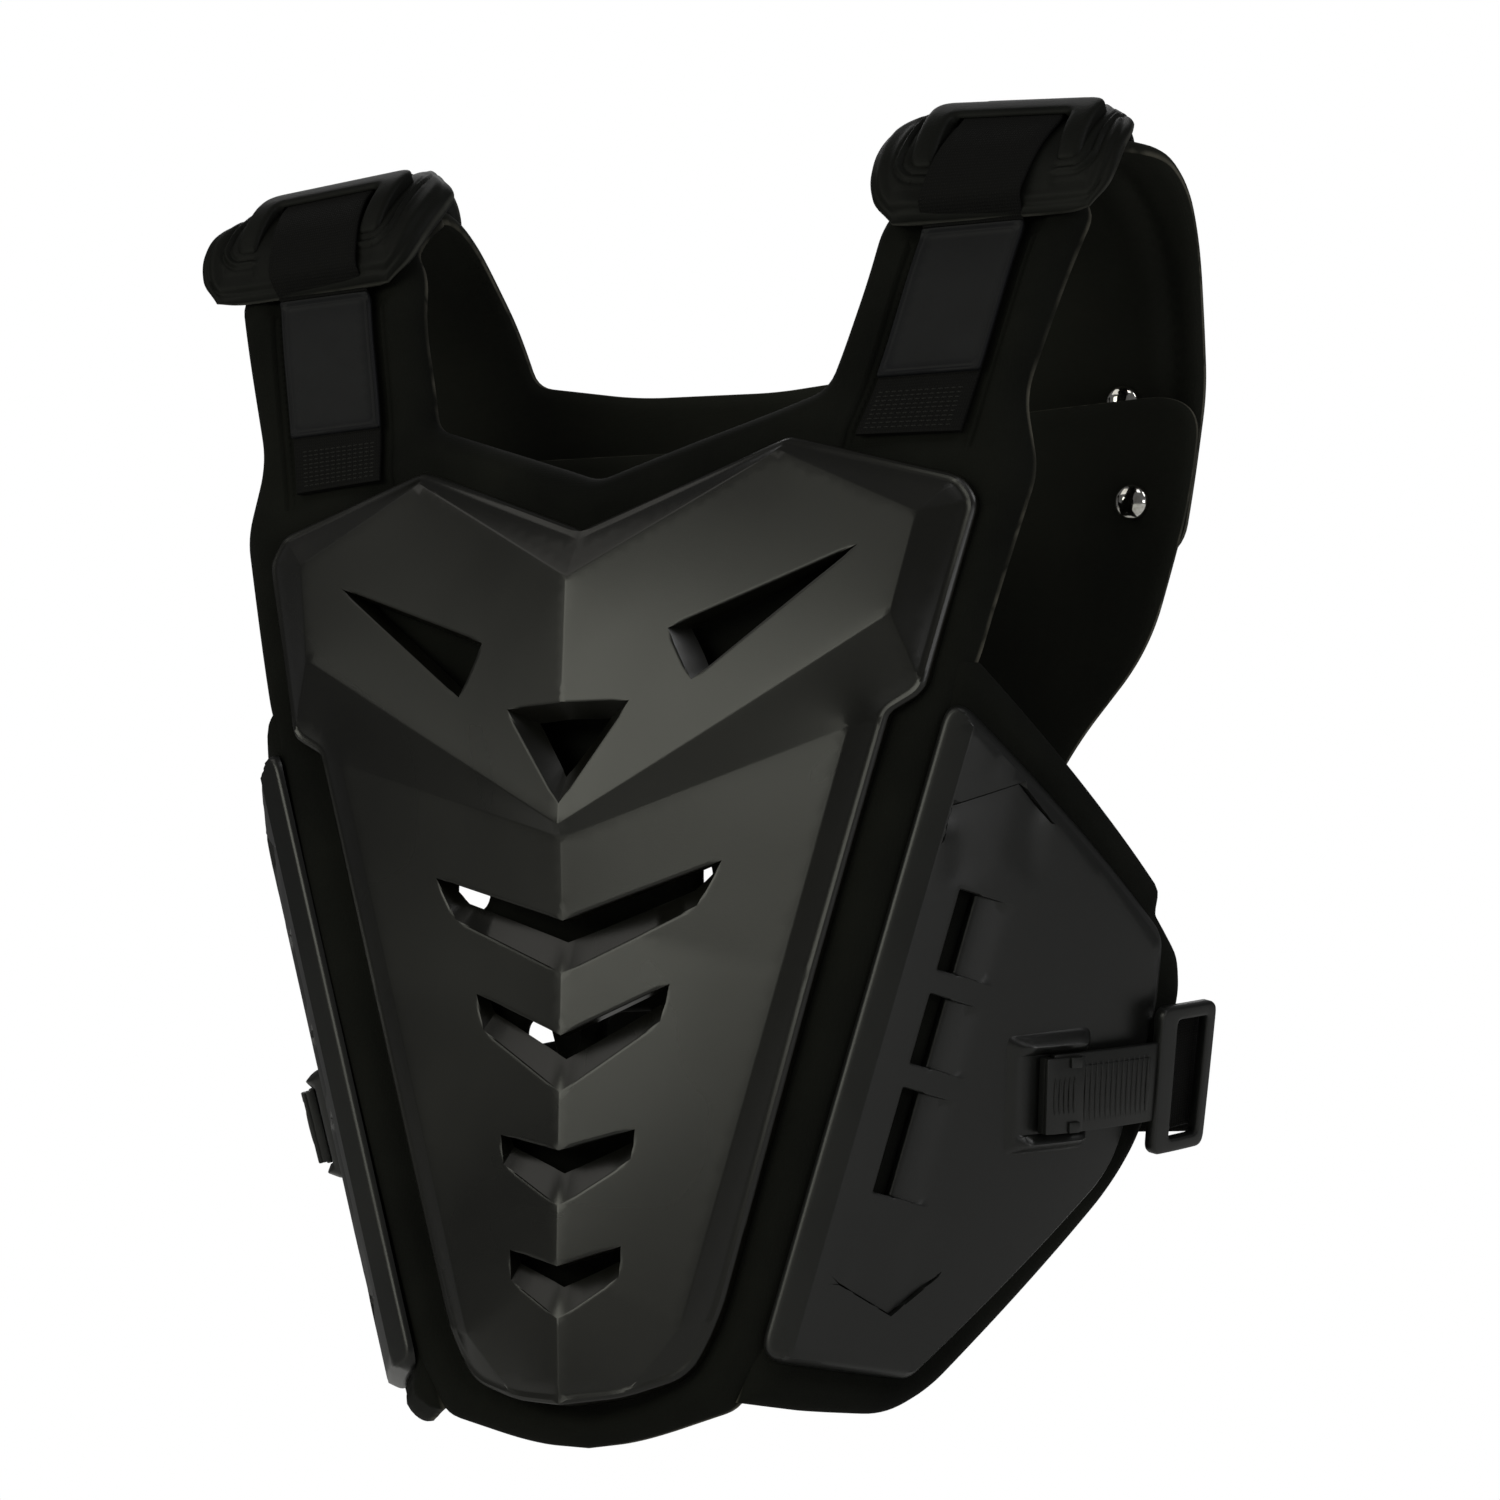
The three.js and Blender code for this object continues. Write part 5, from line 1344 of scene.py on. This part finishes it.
def shoulder_pads():
    ends = np.array([0.0, 0.35, 0.9, 1.7, 2.6])  # rows of points at the edges
    share = np.concatenate([ends / 90, np.linspace(0.037, 0.963, 125), 1 - ends[::-1] / 90])
    along = np.concatenate([SADDLE_FROM + ends, np.arange(104.4, 198.7, 0.8), SADDLE_TO - ends[::-1]])
    a, s = np.meshgrid(along, share, indexing="ij")
    (top, under), edge = saddle_faces(s.ravel(), a.ravel())
    shell = joined(closed_shell(top, under, grid_triangles(*a.shape)), hoop())
    raw = np.zeros(len(shell[0]))
    raw[:2 * len(top)] = np.tile(near_edge(edge, RAW_WIDTH), 2)
    for side, form in left_and_right(shell):
        pad = piece(f"shoulder_pad_{side}_moulding", *form, EVA, "moulded_foam", [f"shoulder_pad_{side}"],
                    sharp=60, marks={"raw_edge": raw})


# Rivets

RIVETS = [("upper", 152.0, 291.0, True), ("lower", 160.0, 332.0, False)]  # x, along, in the yoke only
CAP, DOME, SHANK, FLANGE, SEAT = 7.0, 4.2, 2.2, 1.2, 1.6
RIVET_SIDES = 40


def rivet_shell(x, along, nested):
    """A turned shape from the dome inside the vest, through the pads, to the flange outside."""
    inner_lift = -PAD - SEAT if nested else -PAD - RIVET_NEST - LOWER_PAD - SEAT
    inner, outer = torso(x, along, inner_lift), torso(x, along, SEAT)
    length = np.linalg.norm(outer - inner)
    angles = np.linspace(0, math.pi / 2, 12)
    profile = [(CAP * math.sin(t), -DOME * math.cos(t)) for t in angles]
    profile += [(CAP, 0.5), (CAP - 0.4, 0.8), (SHANK, 0.9), (SHANK, length - 0.4)]
    profile += [(CAP - 0.4, length - 0.3), (CAP, length + 0.1), (CAP * 0.9, length + FLANGE * 0.7)]
    profile += [(CAP * 0.5, length + FLANGE), (0.0, length + FLANGE)]
    axis = (outer - inner) / length
    side = np.cross(axis, (0, 0, 1.0))
    side /= np.linalg.norm(side)
    up = np.cross(side, axis)
    points, faces = [], []
    for r, h in profile:
        for angle in [2 * math.pi * k / RIVET_SIDES for k in range(RIVET_SIDES)]:
            round_it = side * math.cos(angle) + up * math.sin(angle)
            points.append(inner + axis * h + round_it * max(r, 1e-3))
    for start in range(0, len(points) - RIVET_SIDES, RIVET_SIDES):
        for k in range(RIVET_SIDES):
            a, b = start + k, start + (k + 1) % RIVET_SIDES
            faces.append((a, a + RIVET_SIDES, b + RIVET_SIDES, b))
    faces.append(tuple(range(RIVET_SIDES)))
    faces.append(tuple(range(len(points) - 1, len(points) - RIVET_SIDES - 1, -1)))
    return np.array(points), faces


def rivets():
    for name, x, along, nested in RIVETS:
        for side, form in left_and_right(rivet_shell(x, along, nested)):
            rivet = f"rivet_{side}_{name}"
            piece(f"{rivet}_cap", *form, CHROME, "rivet_chrome", [rivet], sharp=40)


# Studio

FLOOR_HALF, FLOOR_AT, ROOM, AIM = 6.0, -0.62, 20.0, (0, 0, -0.2)  # metres
WORLD_LIGHT = 0.1
BEHIND = 2.0  # a lamp further back than this gives no glint on the edges
LAMPS = [  # place, watts, width and height, colour
    ((-0.9, -2.4, 0.37), 20, 2.1, 0.95, "fbfced"),
    ((2.3, -0.9, -0.12), 4.5, 0.9, 0.4, "ffffff"),
    ((-1.1, -1.2, 1.5), 4.5, 1.6, 1.1, "fffcf4"),
    ((-0.9, 1.6, 1.4), 8, 1.2, 1.0, "ffffff"),
    ((2.0, 0.0, 1.35), 9, 0.9, 0.9, "ffffff"),
    ((-0.7, 2.7, 0.3), 24, 1.6, 0.9, "ffffff"),
    ((0.95, -1.1, 1.7), 3, 0.7, 0.7, "ffffff"),
]


def studio():
    mesh = bpy.data.meshes.new("floor")
    corners = [(x, y, FLOOR_AT) for x, y in ((-1, -1), (1, -1), (1, 1), (-1, 1))]
    mesh.from_pydata([(x * FLOOR_HALF, y * FLOOR_HALF, z) for x, y, z in corners], [], [(0, 1, 2, 3)])
    floor = put_in_scene("floor", mesh)
    pale, _, shader = new_finish("pale floor", 0.9)
    shader.inputs["Base Color"].default_value = linear("eeeeec")
    floor.data.materials.append(pale)
    # A white room far behind, which only the camera sees
    room_mesh = bpy.data.meshes.new("room")
    shape = bmesh.new()
    bmesh.ops.create_icosphere(shape, subdivisions=4, radius=ROOM)
    bmesh.ops.reverse_faces(shape, faces=shape.faces)
    shape.to_mesh(room_mesh)
    shape.free()
    room = put_in_scene("room", room_mesh)
    white, tree, _ = new_finish("white room", 1.0)
    glow = node(tree, "ShaderNodeEmission", None, {"Color": (1, 1, 1, 1), "Strength": 1.0})
    tree.links.new(glow.outputs["Emission"], tree.nodes["Material Output"].inputs["Surface"])
    room.data.materials.append(white)
    for ray in ("diffuse", "glossy", "transmission", "volume_scatter", "shadow"):
        setattr(room, f"visible_{ray}", False)
    world = bpy.data.worlds.new("studio")
    world.use_nodes = True
    sky = world.node_tree.nodes["Background"].inputs
    sky["Color"].default_value, sky["Strength"].default_value = (1, 1, 1, 1), WORLD_LIGHT
    bpy.context.scene.world = world
    for k, (place, power, wide, tall, tone) in enumerate(LAMPS):
        light = bpy.data.lights.new(f"softbox_{k}", "AREA")
        light.shape, light.size, light.size_y, light.energy = "RECTANGLE", wide, tall, power
        light.color = linear(tone)[:3]
        lamp = put_in_scene(f"softbox_{k}", light)
        lamp.location = place
        lamp.visible_glossy = place[1] < BEHIND
        lamp.rotation_euler = (Vector(AIM) - Vector(place)).to_track_quat("-Z", "Y").to_euler()
    bpy.context.scene.view_settings.view_transform = "Standard"


front_pad()
back_pads()
chest_plate()
side_pieces()
side_webbing()
shoulder_pads()
shoulder_straps()
labels()
strap_stitches()
rivets()
studio()
